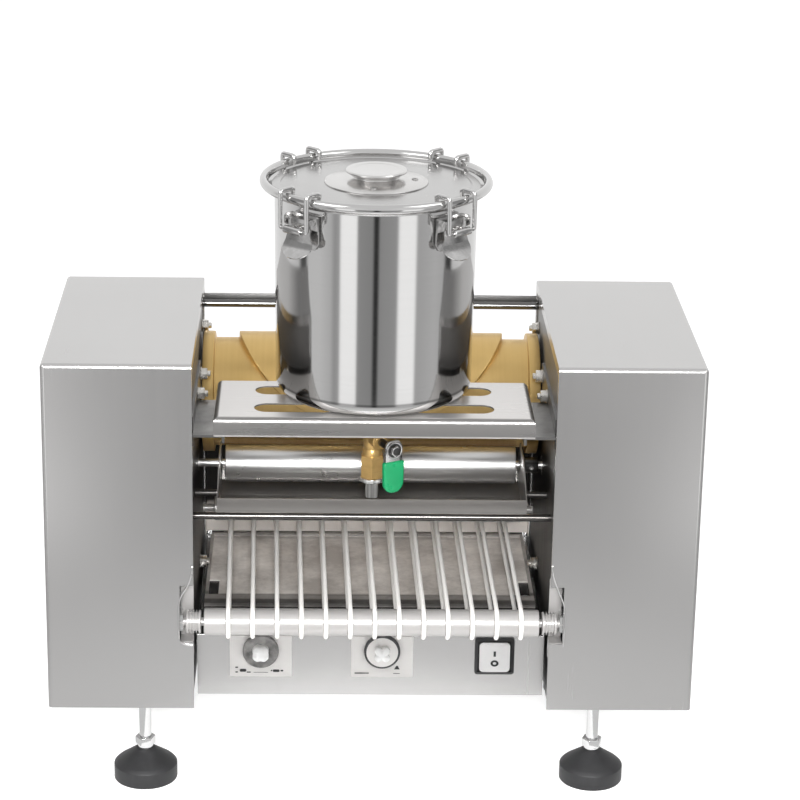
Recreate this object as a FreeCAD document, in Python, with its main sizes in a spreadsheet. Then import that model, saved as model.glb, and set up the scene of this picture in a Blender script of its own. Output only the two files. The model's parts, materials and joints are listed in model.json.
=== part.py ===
"""Automatic crepe maker with a heated drum, batter bucket and string conveyor.

The model frame has Z up, X to the right as the user stands before the machine
and Y away from the user. The origin lies on the ground below the middle.
"""
import FreeCAD, Part
import math
import os
import re

import Sketcher

SIZES = {
    # side housings
    "overall_width": 620.0,
    "clear_width": 340.0,
    "drum_rear_room": 62.0,
    "drum_top_room": 102.0,
    "foot_height": 93.0,
    "cover_wall": 1.5,
    "cover_bend": 4.0,
    "hem_width": 10.0,
    "narrow_hem": 4.0,
    "hem_step_lift": 57.0,
    "plate_wall": 3.0,
    "seat_gap": 0.3,
    "floor_wall": 2.0,
    "notch_reach": 13.0,
    "notch_depth": 26.0,
    "notch_low": 69.0,
    "notch_below_drum": 118.0,
    "bolt_radius": 3.0,
    "bolt_head_radius": 6.2,
    "bolt_head_height": 7.0,
    "bolt_nut_radius": 5.4,
    # feet
    "foot_inset": 50.0,
    "foot_back": 41.0,
    "stem_radius": 6.0,
    "stem_reach": 40.0,
    "hexagon_radius": 10.2,
    "hexagon_high": 44.0,
    "hexagon_low": 32.5,
    "pad_foot_radius": 31.0,
    "pad_foot_top_radius": 11.5,
    "pad_foot_shoulder": 15.5,
    # drum
    "drum_radius": 61.0,
    "groove_depth": 6.2,
    "drum_bore_radius": 50.0,
    "drum_depth": 226.0,
    "drum_rise": 246.0,
    "drum_room": 1.5,
    "drum_ring_width": 11.6,
    "baking_pad_radius": 133.0,
    "baking_pad_turn": 17.7,
    "trough_drum_gap": 2.0,
    "hub_wall": 8.0,
    "hub_recess": 4.0,
    "journal_radius": 12.0,
    "journal_reach": 6.0,
    "heater_radius": 4.0,
    "heater_circle": 34.0,
    "drum_gap": 0.3,
    "cup_flange_radius": 36.0,
    "cup_wall": 3.0,
    "cup_depth": 14.0,
    "bearing_width": 8.0,
    "drum_teeth": 56,
    "applicator_teeth": 24,
    "pinion_teeth": 15,
    "standoff_radius": 5.0,
    "standoff_inset": 6.0,
    "bearing_wall": 6.0,
    "running_gap": 0.05,
    # applicator and trough
    "gear_centre": 80.0,
    "applicator_radius": 18.7,
    "applicator_room": 25.0,
    "applicator_shaft_radius": 4.0,
    "collar_radius": 8.0,
    "collar_room": 9.0,
    "collar_length": 14.0,
    "set_screw_radius": 2.0,
    "applicator_bush_radius": 10.0,
    "trough_room": 20.0,
    "trough_wall": 1.2,
    "trough_front_room": 159.0,
    "trough_front_drop": 55.0,
    "trough_fold_drop": 71.0,
    "trough_bottom_drop": 81.0,
    "trough_fold_room": 86.0,
    "trough_bottom_room": 42.0,
    "trough_rear_room": 31.0,
    "trough_rear_drop": 62.0,
    "trough_cheek_room": 100.0,
    "trough_cheek_drop": 32.0,
    "trough_shaft_gap": 3.0,
    "trough_pin_radius": 3.3,
    "trough_pin_room": 126.0,
    "trough_pin_drop": 62.0,
    # gears and drive
    "gear_module": 2.0,
    "gear_width": 10.0,
    "gear_room": 23.2,
    "gear_play": 0.35,
    "motor_length": 96.0,
    "motor_radius": 27.0,
    "gearbox_half": 32.0,
    "pulley_room": 11.2,
    "pulley_width": 7.0,
    "drive_pulley_radius": 20.0,
    "driven_pulley_radius": 11.0,
    "belt_wall": 1.6,
    "belt_width": 6.0,
    "belt_gap": 0.3,
    # string conveyor
    "front_roller_depth": 7.0,
    "rear_roller_room": 24.0,
    "rear_roller_rise": 104.0,
    "string_roller_rise": 88.0,
    "string_roller_radius": 13.0,
    "string_roller_room": 10.0,
    "roller_hub_radius": 11.2,
    "roller_hub_room": 3.0,
    "roller_hub_length": 14.0,
    "roller_shaft_radius": 4.0,
    "roller_shaft_reach": 9.2,
    "string_radius": 2.2,
    "string_sink": 0.9,
    "string_play": 0.45,
    "string_skew": 1.2,
    "bearing_arm_wall": 4.0,
    "bearing_arm_width": 16.0,
    "bearing_arm_reach": 25.0,
    "bearing_foot_low": 26.0,
    "bearing_foot_high": 44.0,
    # control box
    "control_room": 2.0,
    "control_front_depth": 28.0,
    "control_rear_room": 4.0,
    "control_low": 2.0,
    "control_high": 66.0,
    "pan_front_depth": 93.0,
    "pan_step_depth": 113.0,
    "pan_rear_room": 4.0,
    "pan_room": 4.0,
    "pan_rim_rise": 70.2,
    "pan_wall": 1.0,
    "finger_hole_width": 10.0,
    "finger_hole_length": 36.0,
    "finger_hole_depth": 122.0,
    "finger_hole_room": 8.0,
    "stud_radius": 4.0,
    "label_width": 60.0,
    "label_height": 43.0,
    "label_wall": 1.0,
    "label_rise": 42.8,
    "left_label_room": 61.5,
    "right_label_centre": 11.0,
    "dial_rise": 49.3,
    "dial_skirt_radius": 17.5,
    "dial_skirt_wall": 4.0,
    "dial_grip_radius": 11.0,
    "dial_grip_length": 13.0,
    "dial_ridge_width": 5.0,
    "spindle_radius": 3.0,
    "spindle_length": 14.0,
    "switch_room": 47.8,
    "switch_rise": 44.4,
    "switch_frame_width": 38.5,
    "switch_frame_wall": 2.5,
    "switch_opening": 34.0,
    "switch_body_length": 26.0,
    "rocker_play": 0.8,
    "rocker_reach": 4.0,
    "control_case_half": 20.0,
    "control_case_length": 24.0,
    "gland_radius": 9.0,
    "gland_room": 48.0,
    "gland_rise": 34.0,
    # cross members
    "guard_rod_radius": 3.5,
    "guard_rod_depth": 50.0,
    "guard_rod_drop": 66.3,
    "tie_rod_radius": 4.0,
    "tie_rod_room": 15.0,
    "tie_rod_drop": 23.5,
    "tie_strip_drop": 20.0,
    "splash_room": 4.5,
    "splash_wall": 1.2,
    "splash_low": 70.5,
    "splash_high": 195.0,
    "splash_flange": 11.0,
    "splash_flange_high": 176.0,
    "tie_strip_top_drop": 11.0,
    "tie_strip_room": 7.0,
    "tie_strip_wall": 2.0,
    # shelf
    "shelf_side_room": 20.0,
    "shelf_behind_bucket": 15.0,
    "shelf_over_drum": 51.0,
    "shelf_wall": 1.5,
    "shelf_lip": 18.5,
    "shelf_bend": 5.0,
    "slot_width": 25.0,
    "slot_outer": 113.0,
    "slot_inner": 36.0,
    "front_slot_room": 62.5,
    "rear_slot_room": 12.0,
    "bracket_wall": 2.5,
    "bracket_below": 13.5,
    "bracket_length": 180.0,
    "ledge_length": 104.0,
    "low_bolt_depth": 180.0,
    "low_bolt_rise": 79.0,
    "front_bolt_room": 119.0,
    "middle_bolt_room": 58.0,
    "bracket_bolt_lift": 5.5,
    "rear_bolt_room": 26.0,
    "rear_bolt_drop": 44.0,
    # bucket
    "bucket_before_drum": 133.0,
    "bucket_low_radius": 93.6,
    "bucket_high_radius": 95.6,
    "bucket_wall": 1.2,
    "bucket_height": 209.0,
    "bucket_corner": 12.0,
    "bucket_flare_drop": 12.0,
    "bead_radius": 109.5,
    "bead_height": 9.0,
    "bead_width": 8.0,
    "lid_radius": 98.2,
    "lid_wall": 1.4,
    "lid_dome": 2.2,
    "lid_drop": 8.7,
    "knob_cone_radius": 50.0,
    "knob_top_radius": 29.0,
    "knob_neck_radius": 22.0,
    "knob_height": 12.0,
    # clamps
    "clamp_turn": 43.0,
    "clamp_half_width": 17.0,
    "clamp_wall": 1.5,
    "clamp_low_drop": 51.0,
    "clamp_high_drop": 19.0,
    "cheek_low_drop": 33.0,
    "lever_pivot_drop": 23.0,
    "lever_pivot_radius": 104.0,
    "lever_pin_radius": 2.0,
    "lever_half_width": 14.0,
    "lever_plate_radius": 106.6,
    "lever_low_drop": 57.0,
    "lever_tip": 9.0,
    "bail_pivot_drop": 31.0,
    "bail_radius": 112.8,
    "bail_wire_radius": 1.7,
    "bail_half_width": 16.4,
    "bail_lift": 3.0,
    "bail_hook_radius": 96.0,
    "bail_hook_drop": 8.4,
    # valve
    "valve_top_radius": 9.0,
    "valve_collar_radius": 14.0,
    "valve_inlet_lift": 6.0,
    "valve_barrel_radius": 11.7,
    "valve_bore_radius": 5.5,
    "ball_radius": 7.5,
    "valve_turn": 28.0,
    "stem_boss_radius": 8.0,
    "stem_boss_reach": 18.0,
    "valve_stem_radius": 4.0,
    "handle_reach": 40.0,
    "handle_wall": 2.5,
    "handle_half_width": 9.0,
    "handle_high": 9.5,
    "handle_low": 16.0,
    "sleeve_half_width": 11.5,
    "sleeve_high": 14.0,
    "sleeve_low": 46.0,
    "sleeve_wall": 6.0,
    "stem_nut_radius": 7.2,
    "stem_nut_wall": 5.0,
    "nozzle_drop": 62.0,
    "nozzle_radius": 6.4,
    "nozzle_ring_radius": 11.9,
    "nozzle_bore_radius": 4.0,
}

DERIVED = {
    "housing_height": "drum_rise + drum_top_room",
    "hem_step_rise": "drum_rise + hem_step_lift",
    "notch_high": "drum_rise - notch_below_drum",
    "trough_front_high": "drum_rise - trough_front_drop",
    "trough_front_low": "drum_rise - trough_fold_drop",
    "trough_bottom_rise": "drum_rise - trough_bottom_drop",
    "trough_rear_high": "drum_rise - trough_rear_drop",
    "trough_cheek_high": "drum_rise - trough_cheek_drop",
    "trough_pin_rise": "drum_rise - trough_pin_drop",
    "nozzle_low": "drum_rise - nozzle_drop",
    "guard_rod_rise": "drum_rise - guard_rod_drop",
    "rear_bolt_rise": "housing_height - rear_bolt_drop",
    "tie_rod_rise": "housing_height - tie_rod_drop",
    "tie_strip_low": "housing_height - tie_strip_drop",
    "tie_strip_high": "housing_height - tie_strip_top_drop",
    "housing_depth": "drum_depth + drum_rear_room",
    "bucket_depth": "drum_depth - bucket_before_drum",
    "trough_front_depth": "drum_depth - trough_front_room",
    "trough_bottom_front": "drum_depth - trough_fold_room",
    "trough_bottom_rear": "drum_depth - trough_bottom_room",
    "trough_rear_depth": "drum_depth - trough_rear_room",
    "trough_cheek_depth": "drum_depth - trough_cheek_room",
    "trough_pin_depth": "drum_depth - trough_pin_room",
    "front_bolt_depth": "drum_depth - front_bolt_room",
    "middle_bolt_depth": "drum_depth - middle_bolt_room",
    "control_rear_depth": "housing_depth - control_rear_room",
    "tie_rod_depth": "housing_depth - tie_rod_room",
    "tie_strip_depth": "housing_depth - tie_strip_room",
    "splash_depth": "housing_depth - splash_room",
    "rear_roller_depth": "housing_depth - rear_roller_room",
    "rear_bolt_depth": "housing_depth - rear_bolt_room",
    "pan_rear_depth": "control_rear_depth - pan_rear_room",
    "shelf_depth": "bucket_depth + shelf_behind_bucket",
    "front_slot_depth": "bucket_depth - front_slot_room",
    "rear_slot_depth": "bucket_depth - rear_slot_room",
    "bucket_flare_height": "bucket_height - bucket_flare_drop",
    "lid_lift": "bucket_height - lid_drop",
    "clamp_low": "bucket_height - clamp_low_drop",
    "clamp_high": "bucket_height - clamp_high_drop",
    "cheek_low": "bucket_height - cheek_low_drop",
    "lever_pivot_rise": "bucket_height - lever_pivot_drop",
    "lever_low": "bucket_height - lever_low_drop",
    "bail_pivot_rise": "bucket_height - bail_pivot_drop",
    "bail_high": "bucket_height + bail_lift",
    "inner_half": "clear_width / 2",
    "housing_width": "overall_width / 2 - clear_width / 2",
    "outer_half": "overall_width / 2",
    "front": "0 - housing_depth / 2",
    "rear": "housing_depth / 2",
    "ground": "foot_height",
    "roof": "foot_height + housing_height",
    "plate_face": "inner_half + cover_wall + seat_gap",
    "plate_back": "plate_face + plate_wall",
    "drum_half_length": "inner_half - drum_room",
    "gear_start": "plate_back + gear_room",
    "pulley_start": "plate_back + pulley_room",
    "journal_half_length": "gear_start + gear_width + journal_reach",
    "gearbox_length": "(outer_half - hem_width - gear_start - gear_width - bracket_wall) * 0.45",
    "applicator_half_length": "inner_half - applicator_room",
    "collar_start": "applicator_half_length + collar_room",
    "trough_half_length": "inner_half - trough_room",
    "string_roller_half_length": "inner_half - string_roller_room",
    "string_spacing": "string_roller_half_length * 0.145625",
    "roller_hub_start": "string_roller_half_length + roller_hub_room",
    "roller_shaft_half_length": "plate_back + roller_shaft_reach",
    "control_half_width": "inner_half - control_room",
    "pan_half_width": "control_half_width - pan_room",
    "finger_hole_centre": "pan_half_width - finger_hole_room",
    "left_label_centre": "left_label_room - control_half_width",
    "switch_centre": "control_half_width - switch_room",
    "gland_centre": "control_half_width - gland_room",
    "shelf_half_width": "inner_half - shelf_side_room",
    "shelf_rise": "drum_rise + shelf_over_drum",
    "bracket_ledge": "shelf_rise - shelf_lip",
    "bracket_low": "bracket_ledge - bracket_below",
    "bracket_bolt_rise": "bracket_ledge + bracket_bolt_lift",
    "valve_length": "shelf_rise - nozzle_low",
    "valve_collar_high": "shelf_rise - shelf_wall",
    "valve_collar_low": "shelf_rise - valve_length * 0.115044",
    "valve_inlet_high": "shelf_rise + valve_inlet_lift",
    "valve_neck_low": "shelf_rise - valve_length * 0.610619",
    "valve_low": "shelf_rise - valve_length * 0.814159",
    "stem_rise": "shelf_rise - valve_length * 0.451327",
    "nozzle_ring_low": "shelf_rise - valve_length * 0.845133",
    "drum_y": "front + drum_depth",
    "drum_z": "ground + drum_rise",
    "applicator_y": "drum_y - gear_centre * cos(45)",
    "applicator_z": "drum_z - gear_centre * sin(45)",
    "rear_roller_y": "front + rear_roller_depth",
    "front_roller_y": "front + front_roller_depth",
    "string_roller_z": "ground + string_roller_rise",
    "rear_roller_z": "ground + rear_roller_rise",
    "string_slope": "atan((rear_roller_rise - string_roller_rise) / (rear_roller_depth - front_roller_depth))",
    "string_half": "(rear_roller_depth - front_roller_depth) / 2 / cos(string_slope)",
    "loop_radius": "string_roller_radius + string_radius - string_sink",
    "reach": "bead_radius - bucket_depth",
    "string_shift": "(rear_roller_depth - front_roller_depth) / 2 * sin(string_skew)",
    "bucket_y": "front + bucket_depth",
    "bucket_z": "ground + shelf_rise",
    "bracket_face": "plate_face - bracket_wall",
    "pinion_pitch": "gear_module * pinion_teeth / 2",
    "pinion_z": "drum_z - gear_module * drum_teeth / 2 - pinion_pitch - gear_play / 2",
}

DOC = FreeCAD.newDocument("crepe_maker")
SHEET = DOC.addObject("Spreadsheet::Sheet", "sizes")
WORDS = re.compile(r"[a-z][a-z_]*[a-z]")
SUBPARTS = []


def fill_sheet():
    """Write every size and every derived size into the sheet."""
    row = 0
    for alias, value in SIZES.items():
        row = row + 1
        SHEET.set("A%d" % row, alias)
        SHEET.set("B%d" % row, str(value))
        SHEET.setAlias("B%d" % row, alias)
    for alias, formula in DERIVED.items():
        row = row + 1
        SHEET.set("A%d" % row, alias)
        SHEET.set("B%d" % row, "=" + formula)
        SHEET.setAlias("B%d" % row, alias)
    DOC.recompute()


def text(expression):
    """Put the sheet's name before each size in an expression."""
    def qualified(match):
        word = match.group(0)
        if word in SIZES or word in DERIVED:
            return "sizes." + word
        return word
    return WORDS.sub(qualified, expression)


def value(expression):
    """Read what an expression of sizes gives now."""
    result = SHEET.evalExpression(text(expression))
    return float(getattr(result, "Value", result))


def bind(item, path, expression):
    """Tie a property of an object to an expression of sizes."""
    item.setExpression(path, text(expression))


def place(item, across="0", along="0", up="0", turn=None):
    """Give an object its place, and a turn where one is needed."""
    base = FreeCAD.Vector(value(across), value(along), value(up))
    item.Placement = FreeCAD.Placement(base, turn or FreeCAD.Rotation())
    bind(item, "Placement.Base.x", across)
    bind(item, "Placement.Base.y", along)
    bind(item, "Placement.Base.z", up)
    return item


TURNS = {
    "x": FreeCAD.Rotation(FreeCAD.Vector(0, 1, 0), 90),
    "y": FreeCAD.Rotation(FreeCAD.Vector(1, 0, 0), -90),
    "z": FreeCAD.Rotation(),
}


def block(name, left, right, near, far, low, high):
    """Make a box between six planes."""
    item = DOC.addObject("Part::Box", name)
    bind(item, "Length", "(%s) - (%s)" % (right, left))
    bind(item, "Width", "(%s) - (%s)" % (far, near))
    bind(item, "Height", "(%s) - (%s)" % (high, low))
    return place(item, left, near, low)


def bar(name, axis, radius, start, end, first, second):
    """Make a cylinder along an axis; first and second place it across the axis."""
    item = DOC.addObject("Part::Cylinder", name)
    bind(item, "Radius", radius)
    bind(item, "Height", "(%s) - (%s)" % (end, start))
    spots = {"x": (start, first, second), "y": (first, start, second), "z": (first, second, start)}
    return place(item, *spots[axis], turn=TURNS[axis])


def joined(name, items):
    """Join several objects into one."""
    item = DOC.addObject("Part::MultiFuse", name)
    item.Shapes = items
    item.Refine = True
    return item


def group(name, items):
    """Keep several separate solids as one sub-part."""
    item = DOC.addObject("Part::Compound", name)
    item.Links = items
    return item


def minus(name, base, tools):
    """Cut one or more tools out of a base."""
    item = DOC.addObject("Part::Cut", name)
    item.Base = base
    item.Tool = tools[0] if len(tools) == 1 else joined(name + "_tools", tools)
    item.Refine = True
    return item


def rounded(name, base, radius, chosen):
    """Round the edges of a base that a test chooses."""
    DOC.recompute()
    edges = []
    for index, edge in enumerate(base.Shape.Edges, 1):
        if chosen(edge):
            edges.append((index, value(radius), value(radius)))
    item = DOC.addObject("Part::Fillet", name)
    item.Base = base
    item.Edges = edges
    return item


def mirrored(name, source):
    """Make the mirror image of an object across the middle plane."""
    item = DOC.addObject("Part::Mirroring", name)
    item.Source = source
    item.Normal = FreeCAD.Vector(1, 0, 0)
    item.Base = FreeCAD.Vector(0, 0, 0)
    return item


def turned_about(name, source, angle, across, along):
    """Make a copy of an object turned about an upright line."""
    item = DOC.addObject("Part::Compound", name)
    item.Links = [source]
    DOC.recompute()
    centre = FreeCAD.Vector(value(across), value(along), 0)
    turn = FreeCAD.Rotation(FreeCAD.Vector(0, 0, 1), angle)
    item.Placement = FreeCAD.Placement(FreeCAD.Vector(), turn, centre)
    return item


def plane_of(body, role):
    """Find an origin plane of a body."""
    for item in body.Origin.OriginFeatures:
        if item.Role == role:
            return item
    raise ValueError(role)


def outline(body, role, points, holes=()):
    """Draw a closed outline and round holes, each point tied to sizes."""
    sketch = body.newObject("Sketcher::SketchObject", body.Name + "_sketch")
    sketch.AttachmentSupport = [(plane_of(body, role), "")]
    sketch.MapMode = "FlatFace"
    spots = []
    for across, up in points:
        spots.append(FreeCAD.Vector(value(across), value(up), 0))
    count = len(spots)
    for index in range(count):
        sketch.addGeometry(Part.LineSegment(spots[index], spots[(index + 1) % count]), False)
    for index in range(count):
        following = (index + 1) % count
        sketch.addConstraint(Sketcher.Constraint("Coincident", index, 2, following, 1))
    for index, (across, up) in enumerate(points):
        fix_point(sketch, index, 1, across, up)
    for across, up, radius in holes:
        centre = FreeCAD.Vector(value(across), value(up), 0)
        hole = sketch.addGeometry(Part.Circle(centre, FreeCAD.Vector(0, 0, 1), value(radius)), False)
        fix_point(sketch, hole, 3, across, up)
        rule = sketch.addConstraint(Sketcher.Constraint("Radius", hole, value(radius)))
        bind(sketch, "Constraints[%d]" % rule, radius)
    return sketch


def fix_point(sketch, shape, point, across, up):
    """Tie one point of a sketch to two sizes."""
    for kind, expression, axis in (("DistanceX", across, -2), ("DistanceY", up, -1)):
        if expression == "0":
            sketch.addConstraint(Sketcher.Constraint("PointOnObject", shape, point, axis))
        else:
            fixed = Sketcher.Constraint(kind, -1, 1, shape, point, value(expression))
            rule = sketch.addConstraint(fixed)
            bind(sketch, "Constraints[%d]" % rule, expression)


def prism(name, role, points, thickness, holes=()):
    """Make a plate of an outline, standing on an origin plane."""
    body = DOC.addObject("PartDesign::Body", name)
    sketch = outline(body, role, points, holes)
    pad = body.newObject("PartDesign::Pad", name + "_pad")
    pad.Profile = sketch
    pad.Length = value(thickness)
    bind(pad, "Length", thickness)
    return body


def turned(name, points):
    """Turn an outline of radius and height about the upright axis."""
    body = DOC.addObject("PartDesign::Body", name)
    sketch = outline(body, "XZ_Plane", points)
    solid = body.newObject("PartDesign::Revolution", name + "_turn")
    solid.Profile = sketch
    solid.ReferenceAxis = (sketch, ["V_Axis"])
    solid.Angle = 360
    return body


def keep(item, label):
    """Name a finished sub-part after its file."""
    item.Label = label
    SUBPARTS.append(item)
    return item


def along_x(edge):
    """Tell whether an edge is straight and runs across the machine."""
    return straight(edge, 0)


def along_y(edge):
    """Tell whether an edge is straight and runs front to rear."""
    return straight(edge, 1)


def upright(edge):
    """Tell whether an edge is straight and upright."""
    return straight(edge, 2)


def straight(edge, axis):
    """Tell whether an edge is a line along one axis."""
    if not isinstance(edge.Curve, Part.Line):
        return False
    first = edge.Vertexes[0].Point
    last = edge.Vertexes[-1].Point
    step = last - first
    return abs(abs(step[axis]) - step.Length) < step.Length / 1000


def housing_covers():
    """Fold the two stainless covers, open below and towards the middle."""
    shell = block("cover_block", "inner_half", "outer_half", "front", "rear", "ground", "roof")
    far = value("outer_half")
    near = value("front")
    back = value("rear")
    high = value("roof")
    small = value("cover_wall") / 10

    def bend(edge):
        middle = edge.CenterOfMass
        on_far = abs(middle.x - far) < small
        on_near = abs(middle.y - near) < small
        on_back = abs(middle.y - back) < small
        on_high = abs(middle.z - high) < small
        if upright(edge):
            return on_far and (on_near or on_back)
        return (on_high and (on_near or on_back)) or (on_high and on_far)
    shell = rounded("cover_bends", shell, "cover_bend", bend)
    hollow = block("cover_hollow", "inner_half + cover_wall", "outer_half - cover_wall",
                   "front + cover_wall", "rear - cover_wall",
                   "ground - cover_wall", "roof - cover_wall")
    window = block("cover_window", "inner_half - cover_wall", "inner_half + 2 * cover_wall",
                   "front + hem_width", "rear - hem_width",
                   "ground - cover_wall", "roof - hem_width")
    lower = block("cover_lower_window", "inner_half - cover_wall", "inner_half + 2 * cover_wall",
                  "front + narrow_hem", "rear - hem_width",
                  "ground - cover_wall", "ground + hem_step_rise")
    notch = block("cover_notch", "inner_half - cover_wall", "inner_half + notch_reach",
                  "front - cover_wall", "front + narrow_hem",
                  "ground + notch_low", "ground + notch_high")
    cover = minus("cover_right", shell, [hollow, window, lower, notch])
    keep(cover, "housing_cover_right")
    keep(mirrored("cover_left", cover), "housing_cover_left")


def inner_plates():
    """Cut the two plates that carry every axle."""
    points = [
        ("front + cover_wall + seat_gap", "ground"),
        ("rear - cover_wall - seat_gap", "ground"),
        ("rear - cover_wall - seat_gap", "roof - cover_wall - seat_gap"),
        ("front + cover_wall + seat_gap", "roof - cover_wall - seat_gap"),
        ("front + cover_wall + seat_gap", "ground + notch_high"),
        ("front + notch_depth", "ground + notch_high"),
        ("front + notch_depth", "ground + notch_low"),
        ("front + cover_wall + seat_gap", "ground + notch_low"),
    ]
    holes = [
        ("drum_y", "drum_z", "journal_radius + bearing_wall"),
        ("applicator_y", "applicator_z", "applicator_bush_radius"),
        ("rear_roller_y", "rear_roller_z", "applicator_bush_radius"),
        ("front + front_bolt_depth", "ground + bracket_bolt_rise", "bolt_radius + running_gap"),
        ("front + middle_bolt_depth", "ground + bracket_bolt_rise", "bolt_radius + running_gap"),
        ("front + rear_bolt_depth", "ground + rear_bolt_rise", "bolt_radius + running_gap"),
        ("front + low_bolt_depth", "ground + low_bolt_rise", "bolt_radius + running_gap"),
    ]
    plate = prism("plate_right", "YZ_Plane", points, "plate_wall", holes)
    place(plate, "plate_face")
    keep(plate, "inner_plate_right")
    keep(mirrored("plate_left", plate), "inner_plate_left")


def housing_floors():
    """Close the housings from below, with threaded holes for the feet."""
    floor = block("floor_sheet", "plate_back + seat_gap", "outer_half - cover_wall - seat_gap",
                  "front + cover_wall + seat_gap", "rear - cover_wall - seat_gap",
                  "ground", "ground + floor_wall")
    tools = []
    for index, along in enumerate(("front + foot_back", "rear - foot_back")):
        tools.append(bar("floor_hole_%d" % index, "z", "stem_radius + seat_gap",
                         "ground - floor_wall", "ground + 2 * floor_wall",
                         "inner_half + foot_inset", along))
    floor = minus("floor_right", floor, tools)
    keep(group("floors", [floor, mirrored("floor_left", floor)]), "housing_floors")


def feet():
    """Make four levelling feet: stems with hexagons, and rubber pads."""
    stems = []
    pads = []
    for index, along in enumerate(("front + foot_back", "rear - foot_back")):
        stem = bar("stem_%d" % index, "z", "stem_radius", "hexagon_low",
                   "ground + stem_reach", "inner_half + foot_inset", along)
        hexagon = DOC.addObject("Part::Prism", "hexagon_%d" % index)
        hexagon.Polygon = 6
        bind(hexagon, "Circumradius", "hexagon_radius")
        bind(hexagon, "Height", "hexagon_high - hexagon_low")
        place(hexagon, "inner_half + foot_inset", along, "hexagon_low")
        stem = joined("foot_stem_%d" % index, [stem, hexagon])
        neck = turned("foot_pad_%d" % index, [
            ("0", "0"), ("pad_foot_radius", "0"), ("pad_foot_radius", "pad_foot_shoulder"),
            ("pad_foot_radius - plate_wall", "pad_foot_shoulder + plate_wall"),
            ("pad_foot_top_radius", "hexagon_low - bracket_wall"),
            ("pad_foot_top_radius - bracket_wall", "hexagon_low"), ("0", "hexagon_low")])
        place(neck, "inner_half + foot_inset", along)
        stems = stems + [stem, mirrored("stem_copy_%d" % index, stem)]
        pads = pads + [neck, mirrored("pad_copy_%d" % index, neck)]
    keep(group("all_stems", stems), "foot_stems")
    keep(group("all_pads", pads), "foot_pads")


def pad_solid(radius, inner, outer):
    """Wrap a round pad on the drum; this surface fits no sketch or primitive."""
    mean = value("drum_radius")
    faces = []
    edges = []
    for reach in (inner, outer):
        surface = Part.Cylinder()
        surface.Radius = reach
        flat = []
        count = 48
        for step in range(count):
            angle = 2 * math.pi * step / count
            around = math.pi + radius * math.cos(angle) / mean
            flat.append(FreeCAD.Base.Vector2d(around, radius * math.sin(angle)))
        curve = Part.Geom2d.BSplineCurve2d()
        curve.interpolate(flat, True)
        edge = curve.toShape(surface)
        edges.append(edge)
        face = Part.Face(surface, Part.Wire([edge]))
        face.validate()
        faces.append(face)
    side = Part.makeRuledSurface(edges[0], edges[1])
    shell = Part.makeShell(faces + [side])
    shell.sewShape()
    solid = Part.makeSolid(shell)
    solid.fix(0.01, 0.01, 0.01)
    return solid


def drum():
    """Make the golden drum with end rings and the raised round pad."""
    floor_radius = "drum_radius - groove_depth"
    core = turned("drum_core", [
        ("drum_bore_radius", "0 - drum_half_length"), ("drum_radius", "0 - drum_half_length"),
        ("drum_radius", "drum_ring_width - drum_half_length"),
        (floor_radius, "drum_ring_width - drum_half_length"),
        (floor_radius, "drum_half_length - drum_ring_width"),
        ("drum_radius", "drum_half_length - drum_ring_width"),
        ("drum_radius", "drum_half_length"), ("drum_bore_radius", "drum_half_length")])
    DOC.recompute()
    pad = DOC.addObject("Part::Feature", "baking_pad")
    pad.Shape = pad_solid(value("baking_pad_radius"), value(floor_radius) - value("cover_wall"),
                          value("drum_radius"))
    pad.Placement = FreeCAD.Placement(
        FreeCAD.Vector(), FreeCAD.Rotation(FreeCAD.Vector(0, 0, 1), -value("baking_pad_turn")))
    shell = joined("drum_joined", [core, pad])
    place(shell, "0", "drum_y", "drum_z", TURNS["x"])
    keep(shell, "drum_shell")
    hub = turned("drum_hub", [
        ("0", "drum_half_length - hub_recess - hub_wall"),
        ("drum_bore_radius", "drum_half_length - hub_recess - hub_wall"),
        ("drum_bore_radius", "drum_half_length - hub_recess"),
        ("journal_radius", "drum_half_length - hub_recess"),
        ("journal_radius", "journal_half_length"), ("0", "journal_half_length")])
    place(hub, "0", "drum_y", "drum_z", TURNS["x"])
    keep(group("drum_hub_pair", [hub, mirrored("drum_hub_left", hub)]), "drum_journals")
    rods = []
    end = "drum_half_length - hub_recess - hub_wall"
    for index in range(3):
        angle = 120 * index + 90
        rods.append(bar("heater_%d" % index, "x", "heater_radius", "0 - (%s)" % end, end,
                        "drum_y + heater_circle * cos(%d)" % angle,
                        "drum_z + heater_circle * sin(%d)" % angle))
    keep(group("heaters", rods), "drum_heaters")
    cup = turned("drum_cup", [
        ("journal_radius + bearing_wall", "plate_back"), ("cup_flange_radius", "plate_back"),
        ("cup_flange_radius", "plate_back + cup_wall"),
        ("journal_radius + bearing_wall + cup_wall", "plate_back + cup_wall"),
        ("journal_radius + bearing_wall + cup_wall", "plate_back + cup_depth"),
        ("journal_radius + bearing_wall", "plate_back + cup_depth")])
    place(cup, "0", "drum_y", "drum_z", TURNS["x"])
    keep(group("drum_cups", [cup, mirrored("drum_cup_left", cup)]), "drum_end_cups")


def bearings():
    """Make the bearings of the drum, the applicator and the rear string roller."""
    spots = (
        ("drum", "journal_radius", "bearing_wall", "drum_y", "drum_z",
         "plate_back + cup_depth - bearing_width", "bearing_width"),
        ("applicator", "applicator_shaft_radius", "applicator_bush_radius - applicator_shaft_radius",
         "applicator_y", "applicator_z", "plate_face", "bearing_width"),
        ("string", "roller_shaft_radius", "applicator_bush_radius - roller_shaft_radius",
         "rear_roller_y", "rear_roller_z", "plate_face", "bearing_width"),
    )
    rings = []
    for name, radius, wall, along, up, start, width in spots:
        end = "%s + %s" % (start, width)
        ring = turned(name + "_bearing", [
            (radius + " + running_gap", start), ("%s + %s" % (radius, wall), start),
            ("%s + %s" % (radius, wall), end), (radius + " + running_gap", end)])
        place(ring, "0", along, up, TURNS["x"])
        rings = rings + [ring, mirrored(name + "_bearing_left", ring)]
    keep(group("bearing_rings", rings), "shaft_bearings")


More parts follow.
